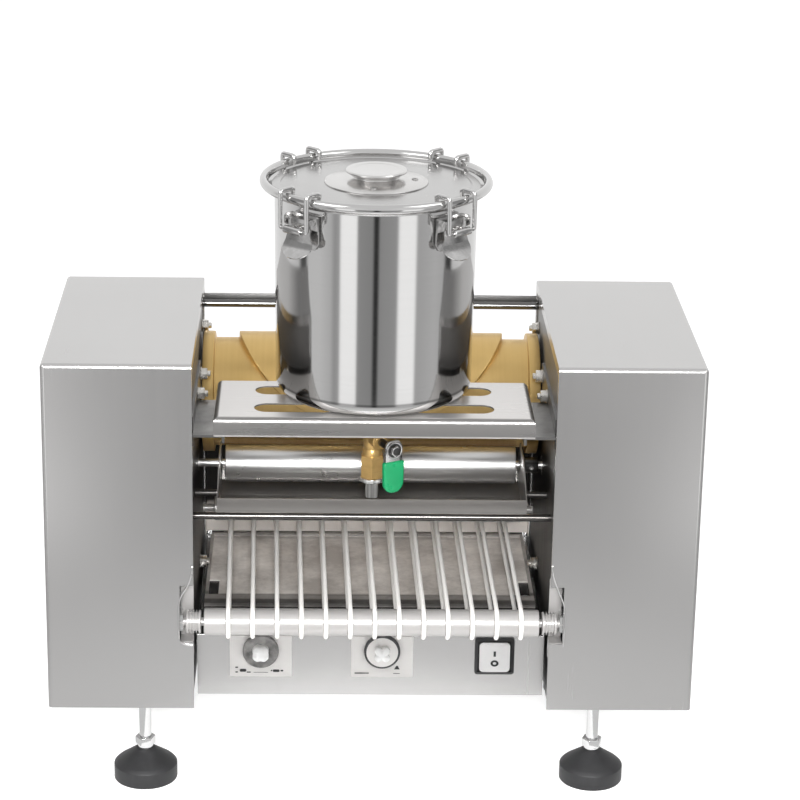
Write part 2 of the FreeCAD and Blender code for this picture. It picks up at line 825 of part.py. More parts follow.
def gear(name, teeth, bore, start, width, along, up, phase):
    """Make a spur gear with plain slanted teeth."""
    module = value("gear_module")
    teeth = int(value(teeth))
    pitch = module * teeth / 2
    tip = pitch + module * 0.9
    root = pitch - module * 1.15
    points = []
    for index in range(teeth):
        middle = 2 * math.pi * (index + phase) / teeth
        half_tip = 0.42 * module / tip
        half_root = 1.05 * module / root
        for radius, angle in ((root, -half_root), (tip, -half_tip), (tip, half_tip), (root, half_root)):
            points.append(FreeCAD.Vector(radius * math.cos(middle + angle),
                                         radius * math.sin(middle + angle), 0))
    points.append(points[0])
    face = Part.Face(Part.makePolygon(points))
    solid = face.extrude(FreeCAD.Vector(0, 0, value(width)))
    solid = solid.cut(Part.makeCylinder(value(bore), value(width)))
    item = DOC.addObject("Part::Feature", name)
    item.Shape = solid
    place(item, start, along, up, TURNS["x"])
    return item


def gears():
    """Mesh the drum gear with the applicator gear and the motor pinion."""
    keep(gear("drum_wheel", "drum_teeth", "journal_radius", "gear_start", "gear_width",
              "drum_y", "drum_z", 0.0), "drum_gear")
    keep(gear("applicator_wheel", "applicator_teeth", "applicator_shaft_radius", "gear_start", "gear_width",
              "applicator_y", "applicator_z", 0.5), "applicator_gear")
    wheel = gear("pinion_wheel", "pinion_teeth", "spindle_radius", "gear_start", "gear_width",
                 "drum_y", "pinion_z", 0.0)
    DOC.recompute()
    shaft = bar("pinion_shaft", "x", "spindle_radius", "gear_start",
                "gear_start + gear_width + bearing_width", "drum_y", "pinion_z")
    keep(group("pinion_pair", [joined("pinion_joined", [wheel, shaft])]), "motor_pinion")


def motor():
    """Make the gearbox and motor on two legs of the right inner plate."""
    start = "gear_start + gear_width + bracket_wall"
    box = block("gearbox", start, start + " + gearbox_length",
                "drum_y - gearbox_half", "drum_y + gearbox_half",
                "pinion_z - gearbox_half", "pinion_z + gearbox_half")
    case = bar("motor_case", "x", "motor_radius", start + " + gearbox_length",
               "outer_half - hem_width", "drum_y", "pinion_z")
    bore = bar("gearbox_bore", "x", "spindle_radius + running_gap", start,
               start + " + hub_wall", "drum_y", "pinion_z")
    legs = []
    for index, sign in enumerate(("-", "+")):
        legs.append(bar("motor_leg_%d" % index, "x", "standoff_radius", "plate_back", start,
                        "drum_y %s (gearbox_half - standoff_inset)" % sign,
                        "pinion_z - gearbox_half + standoff_inset"))
    keep(minus("motor_unit", joined("motor_joined", [box, case] + legs), [bore]), "gear_motor")


def applicator():
    """Make the polished batter roller with its shaft and collar."""
    barrel = bar("applicator_barrel", "x", "applicator_radius", "0 - applicator_half_length",
                 "applicator_half_length", "applicator_y", "applicator_z")
    shaft = bar("applicator_shaft", "x", "applicator_shaft_radius", "0 - plate_back - hub_wall",
                "gear_start + gear_width", "applicator_y", "applicator_z")
    collar = bar("applicator_collar", "x", "collar_radius", "collar_start",
                 "collar_start + collar_length", "applicator_y", "applicator_z")
    screw = bar("applicator_screw", "y", "set_screw_radius",
                "applicator_y - collar_radius - cover_wall", "applicator_y",
                "collar_start + collar_length / 2", "applicator_z")
    keep(joined("applicator_joined", [barrel, shaft, collar, screw]), "applicator_roller")
    pulley = minus("drive_pulley", bar("drive_pulley_disc", "x", "drive_pulley_radius",
                                       "pulley_start", "pulley_start + pulley_width",
                                       "applicator_y", "applicator_z"),
                   [bar("drive_pulley_bore", "x", "applicator_shaft_radius", "pulley_start",
                        "pulley_start + pulley_width", "applicator_y", "applicator_z")])
    keep(pulley, "applicator_pulley")


def trough_line(inset):
    """Give the trough's side outline, moved inwards by an inset."""
    return [
        ("front + trough_front_depth + %s" % inset, "ground + trough_front_high"),
        ("front + trough_front_depth + %s" % inset, "ground + trough_front_low + %s" % inset),
        ("front + trough_bottom_front", "ground + trough_bottom_rise + %s" % inset),
        ("front + trough_bottom_rear", "ground + trough_bottom_rise + %s" % inset),
        ("front + trough_rear_depth - %s" % inset, "ground + trough_rear_high"),
    ]


def trough():
    """Fold the batter trough with its raised round cheeks."""
    tray = prism("trough_tray", "YZ_Plane", trough_line("0 * trough_wall"),
                 "2 * trough_half_length")
    place(tray, "0 - trough_half_length")
    room = prism("trough_room", "YZ_Plane", trough_line("trough_wall"),
                 "2 * trough_half_length - 2 * trough_wall")
    place(room, "trough_wall - trough_half_length")
    lift = block("trough_lift", "trough_wall - trough_half_length",
                 "trough_half_length - trough_wall",
                 "front + trough_front_depth + trough_wall",
                 "front + trough_rear_depth - trough_wall",
                 "ground + trough_rear_high - trough_wall", "ground + trough_front_high + trough_wall")
    cheek_points = [
        ("front + trough_front_depth", "ground + trough_front_high"),
        ("front + trough_bottom_front", "ground + trough_bottom_rise"),
        ("front + trough_rear_depth", "ground + trough_rear_high"),
        ("applicator_y - applicator_shaft_radius", "ground + trough_cheek_high"),
        ("front + trough_cheek_depth", "ground + trough_cheek_high"),
        ("front + trough_cheek_depth - shelf_lip", "ground + trough_cheek_high - shelf_bend"),
    ]
    cheek = prism("trough_cheek", "YZ_Plane", cheek_points, "trough_wall")
    place(cheek, "trough_half_length - trough_wall")
    shaft = bar("trough_shaft_hole", "x", "applicator_shaft_radius + trough_shaft_gap",
                "0 - trough_half_length - trough_wall", "trough_half_length + trough_wall",
                "applicator_y", "applicator_z")
    drum_room = bar("trough_drum_room", "x", "drum_radius + trough_drum_gap",
                    "0 - trough_half_length - trough_wall", "trough_half_length + trough_wall",
                    "drum_y", "drum_z")
    hollow = minus("trough_hollow", tray, [room, lift])
    cheeks = joined("trough_joined", [hollow, cheek, mirrored("trough_cheek_left", cheek)])
    pins = []
    for side, start, end in (("right", "trough_half_length", "plate_face"),
                             ("left", "0 - plate_face", "0 - trough_half_length")):
        pins.append(bar("trough_pin_" + side, "x", "trough_pin_radius", start, end,
                        "front + trough_pin_depth", "ground + trough_pin_rise"))
    cut = minus("trough_cut", cheeks, [shaft, drum_room])
    keep(joined("trough_whole", [cut] + pins), "batter_trough")


def string_roller(name, along, rise, pulley):
    """Make one string roller with its grooves, knurled hubs and shaft."""
    shift = "0 - string_shift" if pulley else "string_shift"
    points = [("0", "0 - string_roller_half_length"),
              ("string_roller_radius", "0 - string_roller_half_length")]
    for index in range(13):
        middle = "string_spacing * (%d) + %s" % (index - 6, shift)
        points = points + [
            ("string_roller_radius", middle + " - string_radius - string_play"),
            ("string_roller_radius - string_sink", middle + " - string_radius + string_play"),
            ("string_roller_radius - string_sink", middle + " + string_radius - string_play"),
            ("string_roller_radius", middle + " + string_radius + string_play")]
    points = points + [("string_roller_radius", "string_roller_half_length"),
                       ("0", "string_roller_half_length")]
    barrel = turned(name + "_barrel", points)
    place(barrel, "0", along, rise, TURNS["x"])
    shaft = bar(name + "_shaft", "x", "roller_shaft_radius", "0 - roller_shaft_half_length",
                "pulley_start + pulley_width" if pulley else "roller_shaft_half_length",
                along, rise)
    parts = [barrel, shaft]
    if not pulley:
        hub = bar(name + "_hub", "x", "roller_hub_radius", "roller_hub_start",
                  "roller_hub_start + roller_hub_length", along, rise)
        parts = parts + [hub, mirrored(name + "_hub_left", hub)]
    return joined(name, parts)


def conveyor():
    """Make the two string rollers, their arms and the thirteen strings."""
    keep(string_roller("front_string_roller", "front_roller_y", "string_roller_z", False), "string_roller_front")
    keep(string_roller("rear_string_roller", "rear_roller_y", "rear_roller_z", True), "string_roller_rear")
    arm = block("bearing_arm", "roller_shaft_half_length - bearing_arm_wall",
                "roller_shaft_half_length",
                "front_roller_y - bearing_arm_width / 4", "front + bearing_arm_reach",
                "string_roller_z - bearing_arm_width / 2", "string_roller_z + bearing_arm_width / 2")
    foot = block("bearing_foot", "plate_back", "roller_shaft_half_length",
                 "front + bearing_arm_reach - bearing_arm_wall", "front + bearing_arm_reach",
                 "string_roller_z - bearing_foot_low", "string_roller_z + bearing_foot_high")
    bore = bar("bearing_bore", "x", "roller_shaft_radius + running_gap",
               "roller_shaft_half_length - 2 * bearing_arm_wall",
               "roller_shaft_half_length + bearing_arm_wall", "front_roller_y", "string_roller_z")
    arm = minus("bearing_arm_right", joined("bearing_arm_joined", [arm, foot]), [bore])
    keep(group("bearing_arms", [arm, mirrored("bearing_arm_left", arm)]), "string_roller_arms")
    body = DOC.addObject("PartDesign::Body", "string_loops")
    path = body.newObject("Sketcher::SketchObject", "string_path")
    path.AttachmentSupport = [(plane_of(body, "YZ_Plane"), "")]
    path.MapMode = "FlatFace"
    half = "string_half"
    span = value(half)
    radius = value("loop_radius")
    upward = FreeCAD.Vector(0, 0, 1)
    path.addGeometry(Part.LineSegment(FreeCAD.Vector(-span, radius, 0),
                                      FreeCAD.Vector(span, radius, 0)), False)
    right = Part.ArcOfCircle(Part.Circle(FreeCAD.Vector(span, 0, 0), upward, radius),
                             -math.pi / 2, math.pi / 2)
    path.addGeometry(right, False)
    path.addGeometry(Part.LineSegment(FreeCAD.Vector(span, -radius, 0),
                                      FreeCAD.Vector(-span, -radius, 0)), False)
    left = Part.ArcOfCircle(Part.Circle(FreeCAD.Vector(-span, 0, 0), upward, radius),
                            math.pi / 2, 3 * math.pi / 2)
    path.addGeometry(left, False)
    for first, end, second, start in ((0, 2, 1, 2), (1, 1, 2, 1), (2, 2, 3, 2), (3, 1, 0, 1)):
        path.addConstraint(Sketcher.Constraint("Tangent", first, end, second, start))
    fix_point(path, 1, 3, half, "0")
    fix_point(path, 3, 3, "0 - " + half, "0")
    rule = path.addConstraint(Sketcher.Constraint("Radius", 1, radius))
    bind(path, "Constraints[%d]" % rule, "loop_radius")
    section = body.newObject("Sketcher::SketchObject", "string_section")
    section.AttachmentSupport = [(plane_of(body, "XZ_Plane"), "")]
    section.MapMode = "FlatFace"
    corners = []
    for index in range(6):
        corners.append((math.cos(math.pi * index / 3), math.sin(math.pi * index / 3)))
    spots = []
    for across, up in corners:
        spots.append(FreeCAD.Vector(value("string_radius") * across,
                                    radius + value("string_radius") * up, 0))
    for index in range(6):
        section.addGeometry(Part.LineSegment(spots[index], spots[(index + 1) % 6]), False)
    for index in range(6):
        section.addConstraint(Sketcher.Constraint("Coincident", index, 2, (index + 1) % 6, 1))
    for index, (across, up) in enumerate(corners):
        fix_point(section, index, 1, "string_radius * %.6f" % across,
                  "loop_radius + string_radius * %.6f" % up)
    pipe = body.newObject("PartDesign::AdditivePipe", "string_pipe")
    pipe.Profile = section
    pipe.Spine = (path, ["Edge1", "Edge2", "Edge3", "Edge4"])
    pipe.Mode = "Standard"
    DOC.recompute()
    loops = []
    for index in range(13):
        loop = DOC.addObject("App::Link", "string_%d" % index)
        loop.LinkedObject = body
        loops.append(loop)
        turn = FreeCAD.Rotation(FreeCAD.Vector(0, 0, 1), value("string_skew")).multiply(
            FreeCAD.Rotation(FreeCAD.Vector(1, 0, 0), value("string_slope")))
        place(loop, "string_spacing * %d" % (index - 6), "(front_roller_y + rear_roller_y) / 2",
              "(string_roller_z + rear_roller_z) / 2", turn)
    keep(group("string_set", loops), "conveyor_strings")


def belt_parts():
    """Make the belt that drives the rear string roller."""
    disc = bar("driven_pulley_disc", "x", "driven_pulley_radius", "pulley_start",
               "pulley_start + pulley_width", "rear_roller_y", "rear_roller_z")
    bore = bar("driven_pulley_bore", "x", "roller_shaft_radius", "pulley_start",
               "pulley_start + pulley_width", "rear_roller_y", "rear_roller_z")
    keep(minus("driven_pulley", disc, [bore]), "string_roller_pulley")
    start = FreeCAD.Vector(value("pulley_start"), value("applicator_y"), value("applicator_z"))
    end = FreeCAD.Vector(value("pulley_start"), value("rear_roller_y"), value("rear_roller_z"))
    along = end - start
    distance = along.Length
    large = value("drive_pulley_radius + belt_gap")
    small = value("driven_pulley_radius + belt_gap")
    lean = math.asin((large - small) / distance)
    heading = math.atan2(along.z, along.y)
    wires = []
    for extra in (0.0, value("belt_wall")):
        points = []
        for centre, radius, first, last in (
                (start, large + extra, heading + math.pi / 2 - lean, heading + 3 * math.pi / 2 + lean),
                (end, small + extra, heading - math.pi / 2 + lean, heading + math.pi / 2 - lean)):
            for step in range(13):
                angle = first + (last - first) * step / 12
                points.append(FreeCAD.Vector(centre.x, centre.y + radius * math.cos(angle),
                                             centre.z + radius * math.sin(angle)))
        points.append(points[0])
        wires.append(Part.makePolygon(points))
    width = FreeCAD.Vector(value("belt_width"), 0, 0)
    outer = Part.Face(wires[1]).extrude(width)
    inner = Part.Face(wires[0]).extrude(width)
    belt = DOC.addObject("Part::Feature", "belt_band")
    belt.Shape = outer.cut(inner)
    keep(belt, "string_drive_belt")


def control_box():
    """Fold the control box and its floor with the rear wall."""
    near = "front + control_front_depth"
    far = "front + control_rear_depth"
    low = "ground + control_low"
    high = "ground + control_high"
    shell = block("control_block", "0 - control_half_width", "control_half_width",
                  near, far, low, high)
    front = value(near)
    top = value(high)
    small = value("cover_wall") / 10

    def bend(edge):
        middle = edge.CenterOfMass
        return along_x(edge) and abs(middle.y - front) < small and abs(middle.z - top) < small
    shell = rounded("control_bend", shell, "cover_wall", bend)
    hollow = block("control_hollow", "cover_wall - control_half_width",
                   "control_half_width - cover_wall", near + " + cover_wall",
                   far + " + cover_wall", low + " - cover_wall", high + " - cover_wall")
    opening = block("control_switch_opening", "switch_centre - switch_opening / 2",
                    "switch_centre + switch_opening / 2", near + " - cover_wall",
                    near + " + 2 * cover_wall", "ground + switch_rise - switch_opening / 2",
                    "ground + switch_rise + switch_opening / 2")
    holes = [hollow, opening]
    for side in ("left", "right"):
        holes.append(bar("control_hole_" + side, "y", "spindle_radius + seat_gap",
                         near + " - cover_wall", near + " + 2 * cover_wall",
                         side + "_label_centre", "ground + dial_rise"))
    keep(minus("control_shell", shell, holes), "control_box_shell")
    inner = "control_half_width - cover_wall"
    floor = block("control_floor_sheet", "0 - (%s)" % inner, inner, near + " + cover_wall", far,
                  low, low + " + cover_wall")
    back = block("control_back_sheet", "0 - (%s)" % inner, inner, far + " - cover_wall", far,
                 low, high + " - cover_wall")
    gland = bar("control_gland_hole", "y", "gland_radius - plate_wall", far + " - 2 * cover_wall",
                far + " + cover_wall", "gland_centre", "ground + gland_rise")
    keep(minus("control_floor", joined("control_floor_joined", [floor, back]), [gland]),
         "control_box_floor")
    stem = bar("gland_stem", "y", "gland_radius - plate_wall", far + " - hub_wall",
               "rear + reach", "gland_centre", "ground + gland_rise")
    nut = bar("gland_nut", "y", "gland_radius", far, "rear + reach - bracket_wall",
              "gland_centre", "ground + gland_rise")
    cable = bar("gland_bore", "y", "spindle_radius", far + " - 2 * hub_wall",
                "rear + reach + cover_wall", "gland_centre", "ground + gland_rise")
    keep(minus("gland", joined("gland_joined", [stem, nut]), [cable]), "cable_gland")


def spacers():
    """Make the studs that hold the control box and the pan between the plates."""
    items = []
    for index, along in enumerate(("front + control_front_depth + shelf_depth / 2",
                                   "front + control_rear_depth - shelf_depth / 2")):
        stud = bar("box_stud_%d" % index, "x", "stud_radius", "control_half_width",
                   "plate_face", along, "ground + gland_rise")
        items = items + [stud, mirrored("box_stud_copy_%d" % index, stud)]
    keep(group("box_studs", items), "control_box_studs")


def drip_pan():
    """Press the drip pan with its wide front rim and two finger holes."""
    low = "ground + control_high + seat_gap"
    high = "ground + pan_rim_rise"
    block_pan = block("pan_block", "0 - pan_half_width", "pan_half_width",
                      "front + pan_front_depth", "front + pan_rear_depth", low, high)
    room = block("pan_room", "plate_wall - pan_half_width", "pan_half_width - plate_wall",
                 "front + pan_step_depth", "front + pan_rear_depth - plate_wall",
                 low + " + pan_wall", high + " + pan_wall")
    under = block("pan_under", "plate_wall - pan_half_width", "pan_half_width - plate_wall",
                  "front + pan_front_depth + pan_wall", "front + pan_step_depth - pan_wall",
                  low + " - pan_wall", high + " - pan_wall")
    tools = [room, under]
    for side, sign in (("right", ""), ("left", "0 - ")):
        centre = "(%sfinger_hole_centre)" % sign
        tools.append(block("finger_hole_" + side, centre + " - finger_hole_width / 2",
                           centre + " + finger_hole_width / 2", "front + finger_hole_depth",
                           "front + finger_hole_depth + finger_hole_length",
                           low + " - pan_wall", high + " + pan_wall"))
    keep(minus("pan", block_pan, tools), "drip_pan")


def dials():
    """Make the label plates, the two dials and the parts behind them."""
    near = "front + control_front_depth"
    plates = []
    for side in ("left", "right"):
        centre = side + "_label_centre"
        plate = block("label_sheet_" + side, centre + " - label_width / 2",
                      centre + " + label_width / 2", near + " - label_wall", near,
                      "ground + label_rise - label_height / 2",
                      "ground + label_rise + label_height / 2")
        hole = bar("label_hole_" + side, "y", "spindle_radius + seat_gap",
                   near + " - 2 * label_wall", near + " + label_wall", centre,
                   "ground + dial_rise")
        plates.append(minus("label_" + side, plate, [hole]))
        back = near + " - label_wall - seat_gap"
        skirt = bar("dial_skirt_" + side, "y", "dial_skirt_radius", back + " - dial_skirt_wall",
                    back, centre, "ground + dial_rise")
        grip = bar("dial_grip_" + side, "y", "dial_grip_radius",
                   back + " - dial_skirt_wall - dial_grip_length / 2", back, centre,
                   "ground + dial_rise")
        ridge = block("dial_ridge_" + side, centre + " - dial_ridge_width / 2",
                      centre + " + dial_ridge_width / 2",
                      back + " - dial_skirt_wall - dial_grip_length", back,
                      "ground + dial_rise - dial_grip_radius",
                      "ground + dial_rise + dial_grip_radius")
        spindle = bar("dial_spindle_" + side, "y", "spindle_radius", back,
                      near + " + spindle_length", centre, "ground + dial_rise")
        keep(joined("dial_joined_" + side, [skirt, grip, ridge, spindle]), "dial_" + side)
        case = block("dial_case_" + side, centre + " - control_case_half",
                     centre + " + control_case_half", near + " + cover_wall",
                     near + " + cover_wall + control_case_length",
                     "ground + dial_rise - control_case_half - hub_wall",
                     "ground + control_high - cover_wall - seat_gap")
        bore = bar("dial_bore_" + side, "y", "spindle_radius + running_gap", near,
                   near + " + spindle_length + plate_wall", centre, "ground + dial_rise")
        keep(minus("dial_unit_" + side, case, [bore]),
             "thermostat" if side == "left" else "speed_control")
    keep(group("labels", plates), "label_plates")


def switch():
    """Make the rocker switch with its frame and body."""
    near = "front + control_front_depth"
    centre = "switch_centre"
    rise = "ground + switch_rise"
    half = "switch_frame_width / 2"
    frame = block("switch_rim", "%s - %s" % (centre, half), "%s + %s" % (centre, half),
                  near + " - switch_frame_wall", near, "%s - %s" % (rise, half),
                  "%s + %s" % (rise, half))
    inner = "(switch_opening / 2 - seat_gap)"
    box = block("switch_box", "%s - %s" % (centre, inner), "%s + %s" % (centre, inner),
                near + " - switch_frame_wall", near + " + switch_body_length",
                "%s - %s" % (rise, inner), "%s + %s" % (rise, inner))
    room_half = "(%s - label_wall)" % inner
    room = block("switch_room", "%s - %s" % (centre, room_half), "%s + %s" % (centre, room_half),
                 near + " - 2 * switch_frame_wall", near + " + hem_width",
                 "%s - %s" % (rise, room_half), "%s + %s" % (rise, room_half))
    keep(minus("switch_case", joined("switch_joined", [frame, box]), [room]), "switch_frame")
    reach_half = "(%s - rocker_play)" % room_half
    points = [
        ("rocker_reach", "0 - (%s)" % reach_half),
        ("0 - hub_wall", "plate_wall - %s" % reach_half),
        ("0 - hub_wall", "%s - plate_wall" % reach_half),
        ("rocker_reach - plate_wall", reach_half),
        ("rocker_reach / 2 - plate_wall / 4", "0"),
    ]
    rocker = prism("rocker_body", "YZ_Plane", [("0 - (%s)" % a, b) for a, b in points],
                   "2 * " + reach_half)
    place(rocker, "%s - %s" % (centre, reach_half), near + " - switch_frame_wall", rise)
    keep(rocker, "switch_rocker")


def cross_members():
    """Make the rods, the strip and the splash sheet that tie the inner plates."""
    keep(bar("guard", "x", "guard_rod_radius", "0 - plate_face", "plate_face",
             "front + guard_rod_depth", "ground + guard_rod_rise"), "guard_rod")
    keep(bar("tie", "x", "tie_rod_radius", "0 - plate_face", "plate_face",
             "front + tie_rod_depth", "ground + tie_rod_rise"), "rear_tie_rod")
    tie_half = "(inner_half)"
    strip = block("strip", "0 - " + tie_half, tie_half, "front + tie_strip_depth",
                  "front + tie_strip_depth + tie_strip_wall", "ground + tie_strip_low",
                  "ground + tie_strip_high")
    sheet = block("splash_sheet", "0 - " + tie_half, tie_half, "front + splash_depth",
                  "front + splash_depth + splash_wall", "ground + splash_low",
                  "ground + splash_high")
    flange = block("splash_flange", "inner_half - splash_wall", tie_half,
                   "front + splash_depth - splash_flange", "front + splash_depth + splash_wall",
                   "ground + splash_low", "ground + splash_flange_high")
    splash = joined("splash", [sheet, flange, mirrored("splash_flange_left", flange)])
    keep(group("rear_sheets", [strip, splash]), "rear_tie_strip")
    bolts = []
    spots = (("front", "front_bolt_depth", "bracket_bolt_rise", "bracket_face"),
             ("middle", "middle_bolt_depth", "bracket_bolt_rise", "bracket_face"),
             ("rear", "rear_bolt_depth", "rear_bolt_rise", "plate_face"),
             ("low", "low_bolt_depth", "low_bolt_rise", "plate_face"))
    for name, depth, rise, face in spots:
        head = bar("bolt_head_" + name, "x", "bolt_head_radius", face + " - bolt_head_height",
                   face, "front + " + depth, "ground + " + rise)
        shank = bar("bolt_shank_" + name, "x", "bolt_radius", face, "plate_back",
                    "front + " + depth, "ground + " + rise)
        nut = DOC.addObject("Part::Prism", "bolt_nut_" + name)
        nut.Polygon = 6
        bind(nut, "Circumradius", "bolt_nut_radius")
        bind(nut, "Height", "bolt_radius")
        place(nut, face + " - bolt_head_height - bolt_radius", "front + " + depth,
              "ground + " + rise, TURNS["x"])
        bolt = joined("bolt_" + name, [head, shank, nut])
        bolts = bolts + [bolt, mirrored("bolt_copy_" + name, bolt)]
    keep(group("bolts", bolts), "side_bolts")


def shelf():
    """Fold the shelf with its lip, four slots and the valve hole."""
    low = "ground + shelf_rise - shelf_lip"
    high = "ground + shelf_rise"
    block_shelf = block("shelf_block", "0 - shelf_half_width", "shelf_half_width", "front",
                        "front + shelf_depth", low, high)
    near = value("front")
    top = value(high)
    side = value("shelf_half_width")
    small = value("shelf_wall") / 10

    def bend(edge):
        middle = edge.CenterOfMass
        if abs(middle.z - top) > small:
            return False
        return abs(abs(middle.x) - side) < small or abs(middle.y - near) < small
    body = rounded("shelf_bends", block_shelf, "shelf_bend", bend)
    room = block("shelf_room", "shelf_wall - shelf_half_width", "shelf_half_width - shelf_wall",
                 "front + shelf_wall", "front + shelf_depth + shelf_wall", low + " - shelf_wall",
                 high + " - shelf_wall")
    tools = [room]
    for row in ("front", "rear"):
        for side_name, sign in (("right", ""), ("left", "0 - ")):
            slot_row = "front + %s_slot_depth" % row
            ends = ["(%s(slot_outer - slot_width / 2))" % sign, "(%s(slot_inner + slot_width / 2))" % sign]
            if not sign:
                ends.reverse()
            name = "slot_%s_%s" % (row, side_name)
            tools.append(block(name + "_middle", ends[0], ends[1], slot_row + " - slot_width / 2",
                               slot_row + " + slot_width / 2", high + " - 2 * shelf_wall",
                               high + " + shelf_wall"))
            for index, end in enumerate(ends):
                tools.append(bar("%s_end_%d" % (name, index), "z", "slot_width / 2",
                                 high + " - 2 * shelf_wall", high + " + shelf_wall", end, slot_row))
    tools.append(bar("shelf_valve_hole", "z", "valve_top_radius + seat_gap",
                     high + " - 2 * shelf_wall", high + " + shelf_wall", "0", "bucket_y"))
    keep(minus("shelf_sheet", body, tools), "bucket_shelf")
    wall = block("bracket_sheet", "bracket_face", "plate_face", "front + hem_width",
                 "front + bracket_length", "ground + bracket_low",
                 "ground + bracket_bolt_rise + hem_width")
    ledge = block("bracket_shelf", "shelf_half_width - hem_width", "plate_face",
                  "front + narrow_hem + seat_gap", "front + ledge_length",
                  "ground + bracket_ledge - bracket_wall", "ground + bracket_ledge")
    lip = block("bracket_lip", "shelf_half_width - hem_width", "shelf_half_width - hem_width + bracket_wall",
                "front + narrow_hem + seat_gap", "front + ledge_length",
                "ground + bracket_ledge - hub_wall", "ground + bracket_ledge")
    holes = []
    for name in ("front", "middle"):
        holes.append(bar("bracket_hole_" + name, "x", "bolt_radius + running_gap",
                         "bracket_face - bracket_wall", "plate_back",
                         "front + %s_bolt_depth" % name, "ground + bracket_bolt_rise"))
    bracket = minus("bracket_right", joined("bracket_joined", [wall, ledge, lip]), holes)
    keep(group("brackets", [bracket, mirrored("bracket_left", bracket)]), "shelf_brackets")


def bucket():
    """Spin the bucket, the lid and its knob."""
    wall = "bucket_wall"
    lower = "(bucket_height - bead_height)"
    vessel = turned("bucket_wall_body", [
        ("valve_top_radius + running_gap", "0"), ("bucket_low_radius - bucket_corner", "0"),
        ("bucket_low_radius - bucket_corner / 4", "bucket_corner / 4"),
        ("bucket_low_radius", "bucket_corner"),
        ("bucket_high_radius", "bucket_flare_height"),
        ("bead_radius - bead_width", lower),
        ("bead_radius - bead_width / 3", lower),
        ("bead_radius", lower + " + bead_height / 3"),
        ("bead_radius", "bucket_height - bead_height / 3"),
        ("bead_radius - bead_width / 3", "bucket_height"),
        ("bead_radius - 2 * bead_width / 3", "bucket_height"),
        ("bead_radius - bead_width", "bucket_height - bead_height / 3"),
        ("bead_radius - bead_width", lower + " + " + wall),
        ("bucket_high_radius - %s" % wall, "bucket_flare_height + %s" % wall),
        ("bucket_low_radius - %s" % wall, "bucket_corner"),
        ("bucket_low_radius - bucket_corner / 4 - %s" % wall, "bucket_corner / 4 + %s / 2" % wall),
        ("bucket_low_radius - bucket_corner", wall),
        ("valve_top_radius + running_gap", wall)])
    place(vessel, "0", "bucket_y", "bucket_z")
    keep(vessel, "batter_bucket")
    lid = turned("lid_body", [
        ("0", "lid_dome"), ("knob_cone_radius", "lid_dome - lid_wall / 2"),
        ("lid_radius - hub_wall", "0"), ("lid_radius", "0"), ("lid_radius", "lid_wall"),
        ("lid_radius - hub_wall", "lid_wall"),
        ("knob_cone_radius", "lid_dome + lid_wall / 2"), ("0", "lid_dome + lid_wall")])
    place(lid, "0", "bucket_y", "bucket_z + lid_lift")
    keep(lid, "bucket_lid")
    knob = turned("knob_body", [
        ("0", "0"), ("knob_cone_radius - label_wall", "0"),
        ("knob_cone_radius - label_wall", "label_wall"),
        ("knob_neck_radius", "knob_height / 3"),
        ("knob_neck_radius", "knob_height * 2 / 3"), ("knob_top_radius", "knob_height - cover_wall"),
        ("knob_top_radius - cover_wall", "knob_height"), ("0", "knob_height")])
    place(knob, "0", "bucket_y", "bucket_z + lid_lift + lid_dome + lid_wall")
    keep(knob, "lid_knob")


